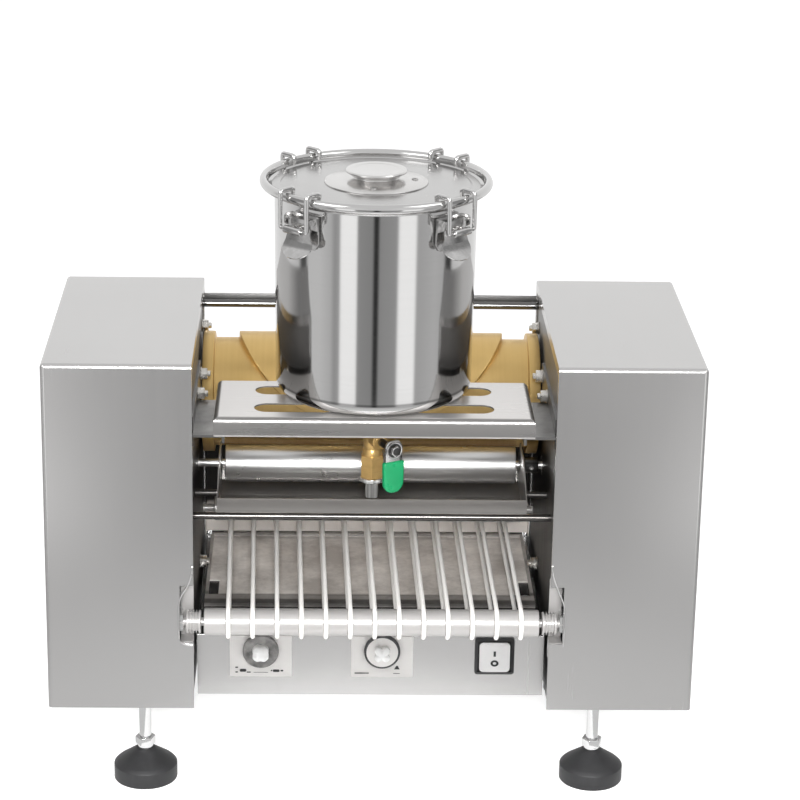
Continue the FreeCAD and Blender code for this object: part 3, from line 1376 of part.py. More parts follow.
def clamps():
    """Make four toggle clamps around the bucket."""
    axis = "bucket_y"
    base_start = "bucket_high_radius + running_gap"
    base = block("clamp_base", "0 - clamp_half_width", "clamp_half_width",
                 "%s - (%s) - clamp_wall" % (axis, base_start), "%s - (%s)" % (axis, base_start),
                 "bucket_z + clamp_low", "bucket_z + clamp_high")
    inside = "clamp_half_width - clamp_wall"
    cheek = block("clamp_cheek", inside, "clamp_half_width",
                  "%s - lever_pivot_radius - lever_pin_radius - cover_wall" % axis,
                  "%s - (%s)" % (axis, base_start), "bucket_z + cheek_low",
                  "bucket_z + clamp_high")
    hole = bar("clamp_hole", "x", "lever_pin_radius + running_gap", "0 - 2 * clamp_half_width",
               "2 * clamp_half_width", "%s - lever_pivot_radius" % axis,
               "bucket_z + lever_pivot_rise")
    bracket = minus("clamp_bracket", joined("clamp_bracket_joined",
                                            [base, cheek, mirrored("clamp_cheek_left", cheek)]),
                    [hole])
    outer = "%s - lever_plate_radius" % axis
    plate = prism("lever_plate", "YZ_Plane", [
        (outer, "bucket_z + lever_pivot_rise + lever_pin_radius"),
        (outer, "bucket_z + lever_low + lever_tip"),
        (outer + " - lever_tip", "bucket_z + lever_low"),
        (outer + " - lever_tip - clamp_wall", "bucket_z + lever_low + label_wall"),
        (outer + " - clamp_wall", "bucket_z + lever_low + lever_tip + label_wall"),
        (outer + " - clamp_wall", "bucket_z + lever_pivot_rise + lever_pin_radius")],
        "2 * lever_half_width")
    place(plate, "0 - lever_half_width")
    pin = bar("lever_pin", "x", "lever_pin_radius", "0 - clamp_half_width", "clamp_half_width",
              "%s - lever_pivot_radius" % axis, "bucket_z + lever_pivot_rise")
    web = block("lever_web", "lever_half_width - clamp_wall", "lever_half_width", outer,
                "%s - lever_pivot_radius + lever_pin_radius" % axis,
                "bucket_z + bail_pivot_rise - lever_tip", "bucket_z + lever_pivot_rise + lever_pin_radius")
    lug = block("lever_lug", "0 - lever_tip / 2", "lever_tip / 2",
                "%s - bail_radius - bail_wire_radius - label_wall" % axis, outer,
                "bucket_z + bail_pivot_rise - plate_wall", "bucket_z + bail_pivot_rise + plate_wall")
    lug_hole = bar("lever_lug_hole", "x", "bail_wire_radius + running_gap", "0 - lever_tip",
                   "lever_tip", "%s - bail_radius" % axis, "bucket_z + bail_pivot_rise")
    lever = minus("clamp_lever", joined("lever_joined", [plate, pin, web,
                                                         mirrored("lever_web_left", web), lug]),
                  [lug_hole])
    wire = "bail_wire_radius"
    side = bar("bail_side", "z", wire, "bucket_z + bail_pivot_rise", "bucket_z + bail_high",
               "bail_half_width", "%s - bail_radius" % axis)
    top = bar("bail_top", "y", wire, "%s - bail_radius" % axis, "%s - bail_hook_radius" % axis,
              "bail_half_width", "bucket_z + bail_high")
    tip = bar("bail_tip", "z", wire, "bucket_z + bail_high - bail_hook_drop",
              "bucket_z + bail_high", "bail_half_width", "%s - bail_hook_radius" % axis)
    balls = []
    for index, (depth, up) in enumerate((("bail_radius", "bail_pivot_rise"),
                                         ("bail_radius", "bail_high"),
                                         ("bail_hook_radius", "bail_high"))):
        ball = DOC.addObject("Part::Sphere", "bail_corner_%d" % index)
        bind(ball, "Radius", wire)
        balls.append(place(ball, "bail_half_width", "%s - %s" % (axis, depth), "bucket_z + " + up))
    half = joined("bail_half", [side, top, tip] + balls)
    cross = bar("bail_cross", "x", wire, "0 - bail_half_width", "bail_half_width",
                "%s - bail_radius" % axis, "bucket_z + bail_pivot_rise")
    bail = joined("clamp_bail", [half, mirrored("bail_half_left", half), cross])
    brackets = []
    for index, angle in enumerate((-1, 1, -3, 3)):
        if abs(angle) == 1:
            turn = value("clamp_turn") * angle
        else:
            turn = (180 - value("clamp_turn")) * angle / 3
        number = index + 1
        brackets.append(turned_about("clamp_bracket_%d" % number, bracket, turn, "0", axis))
        keep(turned_about("lever_%d" % number, lever, turn, "0", axis), "clamp_lever_%d" % number)
        keep(turned_about("bail_%d" % number, bail, turn, "0", axis), "clamp_bail_%d" % number)
    keep(group("clamp_bracket_set", brackets), "clamp_brackets")


def valve():
    """Make the ball valve with its stem, handle, sleeve and nozzle."""
    body = turned("valve_turned", [
        ("valve_bore_radius", "valve_low"), ("valve_barrel_radius", "valve_low"),
        ("valve_barrel_radius", "valve_neck_low"), ("valve_top_radius", "valve_neck_low"),
        ("valve_top_radius", "valve_collar_low"), ("valve_collar_radius", "valve_collar_low"),
        ("valve_collar_radius", "valve_collar_high"), ("valve_top_radius", "valve_collar_high"),
        ("valve_top_radius", "valve_inlet_high"), ("valve_bore_radius", "valve_inlet_high")])
    place(body, "0", "bucket_y", "ground")
    boss = bar("valve_boss", "y", "stem_boss_radius", "bucket_y - stem_boss_reach",
               "bucket_y - valve_bore_radius", "0", "ground + stem_rise")
    stem_hole = bar("valve_stem_hole", "y", "valve_stem_radius + running_gap",
                    "bucket_y - 2 * stem_boss_reach", "bucket_y", "0", "ground + stem_rise")
    room = DOC.addObject("Part::Sphere", "valve_ball_room")
    bind(room, "Radius", "ball_radius + running_gap")
    place(room, "0", "bucket_y", "ground + stem_rise")
    whole = minus("valve_drilled", joined("valve_joined", [body, boss]), [stem_hole, room])
    angle = value("valve_turn")
    keep(turned_about("valve_body_turned", whole, angle, "0", "bucket_y"), "valve_body")
    stem = bar("stem_rod", "y", "valve_stem_radius", "bucket_y - handle_reach - handle_wall - stem_nut_wall",
               "bucket_y - valve_bore_radius", "0", "ground + stem_rise")
    nut = DOC.addObject("Part::Prism", "stem_nut")
    nut.Polygon = 6
    bind(nut, "Circumradius", "stem_nut_radius")
    bind(nut, "Height", "stem_nut_wall")
    place(nut, "0", "bucket_y - handle_reach - handle_wall - stem_nut_wall", "ground + stem_rise",
          TURNS["y"])
    ball = DOC.addObject("Part::Sphere", "valve_ball")
    bind(ball, "Radius", "ball_radius")
    place(ball, "0", "bucket_y", "ground + stem_rise")
    way = bar("valve_ball_way", "z", "valve_bore_radius", "ground + stem_rise - 2 * ball_radius",
              "ground + stem_rise + 2 * ball_radius", "0", "bucket_y")
    whole = minus("stem_whole", joined("stem_joined", [stem, nut, ball]), [way])
    keep(turned_about("valve_stem_turned", whole, angle, "0", "bucket_y"), "valve_stem")
    plate = block("handle_plate", "0 - handle_half_width", "handle_half_width",
                  "bucket_y - handle_reach - handle_wall", "bucket_y - handle_reach",
                  "ground + stem_rise - sleeve_low + sleeve_wall", "ground + stem_rise + handle_high")
    corner = value("ground + stem_rise")
    plate = rounded("handle_corners", plate, "handle_half_width * 0.8",
                    lambda edge: along_y(edge))
    hole = bar("handle_hole", "y", "valve_stem_radius", "bucket_y - handle_reach - 2 * handle_wall",
               "bucket_y - handle_reach + handle_wall", "0", "ground + stem_rise")
    keep(turned_about("handle_turned", minus("handle_drilled", plate, [hole]), angle, "0",
                      "bucket_y"), "valve_handle")
    grip = block("sleeve_block", "0 - sleeve_half_width", "sleeve_half_width",
                 "bucket_y - handle_reach - handle_wall / 2 - sleeve_wall / 2",
                 "bucket_y - handle_reach - handle_wall / 2 + sleeve_wall / 2",
                 "ground + stem_rise - sleeve_low", "ground + stem_rise - sleeve_high")
    grip = rounded("sleeve_ends", grip, "sleeve_half_width * 0.9",
                   lambda edge: along_y(edge) and edge.CenterOfMass.z < corner - value("sleeve_low / 2"))
    pocket = block("sleeve_pocket", "0 - handle_half_width", "handle_half_width",
                   "bucket_y - handle_reach - handle_wall", "bucket_y - handle_reach",
                   "ground + stem_rise - sleeve_low + sleeve_wall", "ground + stem_rise + handle_high")
    keep(turned_about("sleeve_turned", minus("sleeve_hollow", grip, [pocket]), angle, "0",
                      "bucket_y"), "handle_sleeve")
    tip = turned("nozzle_turned", [
        ("nozzle_bore_radius", "nozzle_low"), ("nozzle_radius", "nozzle_low"),
        ("nozzle_radius", "nozzle_ring_low"), ("nozzle_ring_radius", "nozzle_ring_low"),
        ("nozzle_ring_radius", "valve_low"), ("nozzle_bore_radius", "valve_low")])
    place(tip, "0", "bucket_y", "ground")
    keep(tip, "outlet_nozzle")


def check():
    """Stop when an object failed or a sub-part has no valid solid."""
    DOC.recompute()
    for item in DOC.Objects:
        if "Invalid" in item.State or "Error" in item.State:
            raise ValueError("failed object: " + item.Name)
    for item in SUBPARTS:
        shape = item.Shape
        if shape.isNull() or not shape.isValid() or not shape.Solids:
            raise ValueError("bad shape: " + item.Label)


def write():
    """Write each sub-part to its own file."""
    os.makedirs("parts", exist_ok=True)
    for item in SUBPARTS:
        Part.Shape(item.Shape).exportStep("parts/%s.step" % item.Label)


fill_sheet()
housing_covers()
inner_plates()
housing_floors()
feet()
drum()
bearings()
gears()
motor()
applicator()
trough()
conveyor()
belt_parts()
control_box()
spacers()
drip_pan()
dials()
switch()
cross_members()
shelf()
bucket()
clamps()
valve()
check()
write()
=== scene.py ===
"""Looks of the electric crepe maker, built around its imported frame.

Every piece is in metres in the row frame: X to the right, Y to the back, Z up,
with the floor at zero. The construction lives in the CAD source; this script
only dresses it, with finer pieces where a plain solid would look coarse.
"""

import json
import logging
import math
from dataclasses import dataclass, field
from enum import Enum
from typing import Callable, Iterable, Sequence

import bmesh
import bpy
from mathutils import Matrix, Vector

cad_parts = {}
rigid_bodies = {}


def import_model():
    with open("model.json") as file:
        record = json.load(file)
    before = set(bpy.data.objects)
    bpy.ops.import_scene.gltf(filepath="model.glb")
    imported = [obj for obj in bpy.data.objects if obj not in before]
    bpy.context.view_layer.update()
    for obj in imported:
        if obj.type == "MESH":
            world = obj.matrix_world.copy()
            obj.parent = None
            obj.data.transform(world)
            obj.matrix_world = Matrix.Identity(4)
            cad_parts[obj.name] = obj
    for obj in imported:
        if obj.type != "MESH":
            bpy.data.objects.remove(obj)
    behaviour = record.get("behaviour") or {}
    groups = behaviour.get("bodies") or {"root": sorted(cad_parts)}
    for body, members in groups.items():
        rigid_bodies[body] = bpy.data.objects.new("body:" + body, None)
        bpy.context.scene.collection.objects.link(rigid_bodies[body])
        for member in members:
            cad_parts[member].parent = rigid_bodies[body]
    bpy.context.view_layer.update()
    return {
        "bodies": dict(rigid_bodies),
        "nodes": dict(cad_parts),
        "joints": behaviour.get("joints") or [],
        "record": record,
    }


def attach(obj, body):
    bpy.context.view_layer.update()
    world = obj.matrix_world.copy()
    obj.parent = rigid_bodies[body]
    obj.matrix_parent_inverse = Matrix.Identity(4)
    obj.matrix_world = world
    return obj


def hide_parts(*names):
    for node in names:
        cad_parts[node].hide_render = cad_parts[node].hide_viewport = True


LOG = logging.getLogger("crepe_maker")
MM = 0.001
ROUND = 96

BMesh = bmesh.types.BMesh
Colour = tuple[float, float, float]
Point = tuple[float, float, float]
Pair = tuple[float, float]
Outline = Sequence[Pair]
Pins = dict[int | str, object]


# --------------------------------------------------------------------------
# Small tools for meshes
# --------------------------------------------------------------------------


class Axis(Enum):
    """The row axis that a turned or extruded piece lies along."""

    X = "X"
    Y = "Y"
    Z = "Z"

    def turn(self) -> Matrix:
        """Gives the turn that lays a piece along this axis.

        Returns:
            The turn that carries Z onto it.
        """
        return {
            Axis.X: Matrix.Rotation(math.radians(90), 4, "Y"),
            Axis.Y: Matrix.Rotation(math.radians(-90), 4, "X"),
            Axis.Z: Matrix.Identity(4),
        }[self]


def close_up(bm: BMesh) -> None:
    """Merges doubled vertices and points every face outwards."""
    bmesh.ops.remove_doubles(bm, verts=bm.verts, dist=2e-6)
    bmesh.ops.recalc_face_normals(bm, faces=bm.faces)


def lathe(profile: Outline, steps: int = ROUND, closed: bool = False) -> BMesh:
    """Turns a profile about Z.

    Args:
        profile: (radius, height) pairs in millimetres, in order.
        steps: how many facets go round.
        closed: whether the last point joins the first, as for a ring.

    Returns:
        The turned shape in metres.
    """
    bm = bmesh.new()
    verts = [bm.verts.new((r * MM, 0.0, z * MM)) for r, z in profile]
    edges = [bm.edges.new(pair) for pair in zip(verts, verts[1:])]
    if closed:
        edges.append(bm.edges.new((verts[-1], verts[0])))
    bmesh.ops.spin(
        bm,
        geom=verts + edges,
        axis=(0, 0, 1),
        cent=(0, 0, 0),
        dvec=(0, 0, 0),
        angle=math.tau,
        steps=steps,
        use_merge=True,
        use_duplicate=False,
    )
    close_up(bm)
    return bm


def rounded(profile: Outline, radii: dict[int, float], steps: int = 4) -> list[Pair]:
    """Rounds chosen corners of an open profile.

    Args:
        profile: the corner points.
        radii: corner index to its radius.
        steps: how many pieces each corner is divided into.

    Returns:
        The profile with arcs in place of those corners.
    """
    out: list[Pair] = []
    for i, (x, y) in enumerate(profile):
        r = radii.get(i, 0.0)
        if not r or i in (0, len(profile) - 1):
            out.append((x, y))
            continue
        here = Vector((x, y))
        a = (Vector(profile[i - 1]) - here).normalized()
        b = (Vector(profile[i + 1]) - here).normalized()
        half = a.angle(b) / 2
        reach = r / math.tan(half)
        centre = here + (a + b).normalized() * (r / math.sin(half))
        start, end = here + a * reach - centre, here + b * reach - centre
        sweep = start.angle_signed(end)
        for k in range(steps + 1):
            p = centre + Matrix.Rotation(-sweep * k / steps, 2) @ start
            out.append((p.x, p.y))
    return out


def turned(
    profile: Outline,
    radii: dict[int, float],
    arcs: int,
    steps: int = ROUND,
    closed: bool = False,
) -> BMesh:
    """Turns a profile with rounded corners about Z.

    Args:
        profile: (radius, height) pairs in millimetres, in order.
        radii: corner index to its radius.
        arcs: how many pieces each corner is divided into.
        steps: how many facets go round.
        closed: whether the last point joins the first, as for a ring.

    Returns:
        The turned shape in metres.
    """
    return lathe(rounded(profile, radii, arcs), steps, closed)


def block(low: Point, high: Point, edge: float = 0.4, segments: int = 2) -> BMesh:
    """Makes a box with softened edges.

    Args:
        low: lowest corner in millimetres.
        high: highest corner in millimetres.
        edge: how far the edges are rounded, in millimetres.
        segments: how many facets the rounding has.

    Returns:
        The box in metres.
    """
    bm = bmesh.new()
    bmesh.ops.create_cube(bm, size=1.0)
    size = [(b - a) * MM for a, b in zip(low, high)]
    mid = [(a + b) / 2 * MM for a, b in zip(low, high)]
    bmesh.ops.scale(bm, vec=size, verts=bm.verts)
    bmesh.ops.translate(bm, vec=mid, verts=bm.verts)
    if edge:
        soften(bm, bm.edges[:], edge, segments)
    return bm


def both_sides(low: Point, high: Point, edge: float) -> list[BMesh]:
    """Makes a block on the right and its mirror image on the left.

    Args:
        low: lowest corner of the right one, in millimetres.
        high: its highest corner, in millimetres.
        edge: how far the edges are rounded, in millimetres.

    Returns:
        The left block and the right one.
    """
    return [block((-high[0], *low[1:]), (-low[0], *high[1:]), edge), block(low, high, edge)]


def soften(
    bm: BMesh,
    edges: Iterable[bmesh.types.BMEdge],
    width: float,
    segments: int = 2,
) -> None:
    """Bevels the given edges.

    Args:
        bm: the shape.
        edges: its edges to round.
        width: how far they are rounded, in millimetres.
        segments: how many facets the rounding has.
    """
    bmesh.ops.bevel(
        bm,
        geom=list(edges),
        offset=width * MM,
        affect="EDGES",
        segments=segments,
        profile=0.5,
        material=-1,
        clamp_overlap=True,
    )


def plate(outline: Outline, thickness: float, edge: float = 0.2, segments: int = 2) -> BMesh:
    """Makes a flat plate from its outline, lying on Z = 0.

    Args:
        outline: corner points in millimetres, in order.
        thickness: how thick it is, in millimetres.
        edge: how far its edges are rounded.
        segments: how many facets the rounding has.

    Returns:
        The plate in metres.
    """
    bm = bmesh.new()
    face = bm.faces.new([bm.verts.new((x * MM, y * MM, 0.0)) for x, y in outline])
    grown = bmesh.ops.extrude_face_region(bm, geom=[face])
    top = [v for v in grown["geom"] if isinstance(v, bmesh.types.BMVert)]
    bmesh.ops.translate(bm, vec=(0, 0, thickness * MM), verts=top)
    close_up(bm)
    if edge:
        sharp = [e for e in bm.edges if e.calc_face_angle(0.0) > math.radians(35)]
        soften(bm, sharp, edge, segments)
    return bm


def sheet_of(across: int, along: int, shape: Callable[[float, float], Point], wall: float) -> BMesh:
    """Presses a thin sheet into a shape.

    Args:
        across: facets across the sheet.
        along: facets along it.
        shape: gives the place in millimetres for two shares from 0 to 1.
        wall: the sheet's thickness in millimetres, put behind the shape.

    Returns:
        The sheet in metres.
    """
    bm = bmesh.new()
    bmesh.ops.create_grid(bm, x_segments=across, y_segments=along, size=0.5)
    for vert in bm.verts:
        vert.co = Vector(shape(vert.co.x + 0.5, vert.co.y + 0.5)) * MM
    bmesh.ops.recalc_face_normals(bm, faces=bm.faces)
    bmesh.ops.solidify(bm, geom=bm.faces[:], thickness=wall * MM)
    bmesh.ops.recalc_face_normals(bm, faces=bm.faces)
    return bm


def polygon(sides: int, radius: float, turn: float = 0.0) -> list[Pair]:
    """Lays out a regular polygon.

    Args:
        sides: how many sides it has.
        radius: distance of its corners from zero, in millimetres.
        turn: how far it is turned, in degrees.

    Returns:
        Its corners.
    """
    return [
        (
            radius * math.cos(math.tau * k / sides + math.radians(turn)),
            radius * math.sin(math.tau * k / sides + math.radians(turn)),
        )
        for k in range(sides)
    ]


def round_box(width: float, height: float, radius: float, steps: int = 6) -> list[Pair]:
    """Lays out a rectangle with rounded corners, centred on zero.

    Args:
        width: its size along the first axis, in millimetres.
        height: its size along the second.
        radius: the corners' radius.
        steps: how many pieces each corner is divided into.

    Returns:
        Its outline.
    """
    out = []
    for quarter, (sx, sy) in enumerate(((1, 1), (-1, 1), (-1, -1), (1, -1))):
        cx, cy = sx * (width / 2 - radius), sy * (height / 2 - radius)
        for k in range(steps + 1):
            a = math.radians(90 * quarter + 90 * k / steps)
            out.append((cx + radius * math.cos(a), cy + radius * math.sin(a)))
    return out


def hexagon(across: float, height: float, chamfer: float = 0.9) -> BMesh:
    """Makes a hexagon head standing on Z = 0, with its corners turned off.

    Args:
        across: distance across the corners, in millimetres.
        height: its height, in millimetres.
        chamfer: how far the corners are turned down.

    Returns:
        The head in metres.
    """
    bm = plate(polygon(6, across / 2), height, 0)
    corners = [e for e in bm.edges if abs(e.verts[0].co.z - e.verts[1].co.z) > 1e-6]
    soften(bm, corners, across * 0.03, 2)
    top = [f for f in bm.faces if f.normal.z > 0.9]
    rim = {e for f in top for e in f.edges}
    soften(bm, rim, chamfer, 2)
    return bm


def wire(
    points: Sequence[Point],
    radius: float,
    closed: bool = False,
    sides: int = 3,
    swell: Sequence[float] = (),
) -> BMesh:
    """Makes a smooth round wire through control points.

    Args:
        points: control points in millimetres.
        radius: the wire's radius, in millimetres.
        closed: whether the wire runs back to its start.
        sides: resolution of the round section.
        swell: each point's share of the radius, where it varies.

    Returns:
        The wire as a mesh in metres.
    """
    curve = bpy.data.curves.new("wire", "CURVE")
    curve.dimensions = "3D"
    curve.bevel_depth = radius * MM
    curve.bevel_resolution = sides
    curve.use_fill_caps = not closed
    curve.resolution_u = 6
    spline = curve.splines.new("NURBS")
    spline.points.add(len(points) - 1)
    for slot, p in zip(spline.points, points):
        slot.co = (p[0] * MM, p[1] * MM, p[2] * MM, 1.0)
    for slot, share in zip(spline.points, swell):
        slot.radius = share
    spline.order_u = 3
    spline.use_endpoint_u = not closed
    spline.use_cyclic_u = closed
    holder = bpy.data.objects.new("wire", curve)
    bm = bmesh.new()
    bm.from_mesh(bpy.data.meshes.new_from_object(holder))
    bpy.data.objects.remove(holder)
    bpy.data.curves.remove(curve)
    close_up(bm)
    return bm


def moved(bm: BMesh, matrix: Matrix) -> BMesh:
    """Transforms a shape.

    Args:
        bm: the shape.
        matrix: the move.

    Returns:
        The same shape.
    """
    bmesh.ops.transform(bm, matrix=matrix, verts=bm.verts)
    if matrix.determinant() < 0:
        bmesh.ops.reverse_faces(bm, faces=bm.faces)
    return bm


def at(x: float, y: float, z: float) -> Matrix:
    """Returns a move to a place given in millimetres."""
    return Matrix.Translation((x * MM, y * MM, z * MM))


def spun(degrees: float, axis: Axis = Axis.Z) -> Matrix:
    """Returns a turn by some degrees about an axis through the origin."""
    return Matrix.Rotation(math.radians(degrees), 4, axis.value)


def together(parts: Iterable[BMesh]) -> BMesh:
    """Joins several shapes into the first one.

    Args:
        parts: the shapes; all of them are used up.

    Returns:
        One shape that holds them all.
    """
    out = bmesh.new()
    for part in parts:
        mesh = bpy.data.meshes.new("part")
        part.to_mesh(mesh)
        part.free()
        out.from_mesh(mesh)
        bpy.data.meshes.remove(mesh)
    return out


def put_in(name: str, bm: BMesh) -> bpy.types.Object:
    """Turns a shape into an object of the scene.

    Args:
        name: the object's name.
        bm: its shape; it is used up.

    Returns:
        The new object.
    """
    mesh = bpy.data.meshes.new(name)
    bm.to_mesh(mesh)
    bm.free()
    obj = bpy.data.objects.new(name, mesh)
    bpy.context.scene.collection.objects.link(obj)
    return obj


# --------------------------------------------------------------------------
# Shared effects and finishes
# --------------------------------------------------------------------------


class Grain(Enum):
    """The way that the brushing or drawing marks of a surface run."""

    ALONG_X = (3.0, 260.0, 260.0)
    ALONG_Z = (260.0, 260.0, 3.0)
    SHEET = (240.0, 14.0, 3.0)
    HOOPS_Z = (6.0, 6.0, 420.0)
    HOOPS_X = (420.0, 6.0, 6.0)
    EVEN = (140.0, 140.0, 140.0)


class Graph:
    """A node tree with a short way to add nodes to it."""

    def __init__(self, tree: bpy.types.NodeTree) -> None:
        """Takes the tree that the nodes go into."""
        self.tree = tree

    def add(self, kind: str, pins: Pins | None = None, **settings: object) -> bpy.types.Node:
        """Adds a node.

        Args:
            kind: the node's type.
            pins: for each input, the socket that is linked to it or its value.
            settings: the node's own settings by name.

        Returns:
            The new node.
        """
        node = self.tree.nodes.new(kind)
        for name, value in settings.items():
            setattr(node, name, value)
        self.feed(node, pins or {})
        return node

    def feed(self, node: bpy.types.Node, pins: Pins) -> None:
        """Links or sets inputs of a node.

        Args:
            node: a node of this tree.
            pins: for each input, the socket that is linked to it or its value.
        """
        for key, value in pins.items():
            if isinstance(value, bpy.types.NodeSocket):
                self.tree.links.new(value, node.inputs[key])
            else:
                node.inputs[key].default_value = value

    def times(self, value: object, factor: object) -> bpy.types.NodeSocket:
        """Returns the product of two sockets or numbers."""
        return self.add("ShaderNodeMath", {0: value, 1: factor}, operation="MULTIPLY").outputs[0]

    def greys(self, place: bpy.types.NodeSocket, stops: Outline) -> bpy.types.NodeSocket:
        """Turns a number into a grey.

        Args:
            place: the number, from 0 to 1.
            stops: (place, grey) pairs of the ramp, lowest first.

        Returns:
            The grey of each place.
        """
        ramp = self.add("ShaderNodeValToRGB", {0: place})
        elements = ramp.color_ramp.elements
        while len(elements) < len(stops):
            elements.new(0.5)
        for stop, (spot, grey) in zip(elements, stops):
            stop.position = spot
            stop.color = (grey, grey, grey, 1.0)
        return ramp.outputs[0]


def new_group(name: str, inputs: dict[str, object], outputs: dict[str, str]) -> Graph:
    """Starts a shader node group with named sockets.

    Args:
        name: the group's name.
        inputs: the default value of each input; its kind follows from it.
        outputs: the socket type of each output.

    Returns:
        The group with its input and output nodes in place.
    """
    group = bpy.data.node_groups.new(name, "ShaderNodeTree")
    for label, default in inputs.items():
        parts = len(default) if isinstance(default, tuple) else 1
        kind = {1: "NodeSocketFloat", 3: "NodeSocketVector", 4: "NodeSocketColor"}[parts]
        socket = group.interface.new_socket(label, in_out="INPUT", socket_type=kind)
        socket.default_value = default
    for label, kind in outputs.items():
        group.interface.new_socket(label, in_out="OUTPUT", socket_type=kind)
    group.nodes.new("NodeGroupInput")
    group.nodes.new("NodeGroupOutput")
    return Graph(group)


class Effects:
    """Builds the node groups that several materials share, each of them once."""

    def __init__(self) -> None:
        """Builds the groups."""
        self.marks = self._marks()
        self.tone = self._tone()

    def _marks(self) -> bpy.types.NodeTree:
        """Builds a group of fine drawn marks, soft clouds and small specks.

        Returns:
            The group.
        """
        g = new_group(
            "surface marks",
            {
                "Vector": (0.0, 0.0, 0.0),
                "Stretch": (1.0, 1.0, 1.0),
                "Cloud Scale": 14.0,
                "Speck Scale": 380.0,
            },
            {name: "NodeSocketFloat" for name in ("Marks", "Clouds", "Specks")},
        )
        given = g.tree.nodes["Group Input"].outputs
        place = given["Vector"]
        drawn = g.add("ShaderNodeVectorMath", {0: place, 1: given["Stretch"]}, operation="MULTIPLY")
        noises = {
            "Marks": {"Vector": drawn.outputs[0], "Scale": 1.0, "Detail": 4.0, "Roughness": 0.62},
            "Clouds": {
                "Vector": place,
                "Scale": given["Cloud Scale"],
                "Detail": 5.0,
                "Roughness": 0.55},
            "Specks": {"Vector": place, "Scale": given["Speck Scale"], "Detail": 2.0}}
        out = g.tree.nodes["Group Output"]
        for name, pins in noises.items():
            g.feed(out, {name: g.add("ShaderNodeTexNoise", pins).outputs[0]})
        return g.tree

    def _tone(self) -> bpy.types.NodeTree:
        """Builds a group that blends a colour to a second one by two masks.

        Returns:
            The group.
        """
        g = new_group(
            "surface tone",
            {
                "Colour": (0.8, 0.8, 0.8, 1.0),
                "Second": (0.4, 0.4, 0.4, 1.0),
                "Mask A": 0.5,
                "Mask B": 0.5,
                "Share A": 0.3,
                "Share B": 0.3,
            },
            {"Colour": "NodeSocketColor", "Amount": "NodeSocketFloat"},
        )
        given = g.tree.nodes["Group Input"].outputs
        parts = []
        for tag in ("A", "B"):
            pins = {"Value": given["Mask " + tag], "From Min": 0.32, "From Max": 0.68}
            even = g.add("ShaderNodeMapRange", pins)
            parts.append(g.times(even.outputs[0], given["Share " + tag]))
        add = g.add("ShaderNodeMath", dict(enumerate(parts)), operation="ADD", use_clamp=True)
        amount = add.outputs[0]
        pins = {"Factor": amount, 6: given["Colour"], 7: given["Second"]}
        mix = g.add("ShaderNodeMix", pins, data_type="RGBA")
        g.feed(g.tree.nodes["Group Output"], {"Colour": mix.outputs[2], "Amount": amount})
        return g.tree


Band = tuple[Axis, tuple[Pair, ...]]


def band(axis: Axis, *shares: Pair) -> Band:
    """Returns a finish's band of painted shade or light: (place in millimetres, share of the
    colour) pairs for an axis.
    """
    return axis, shares


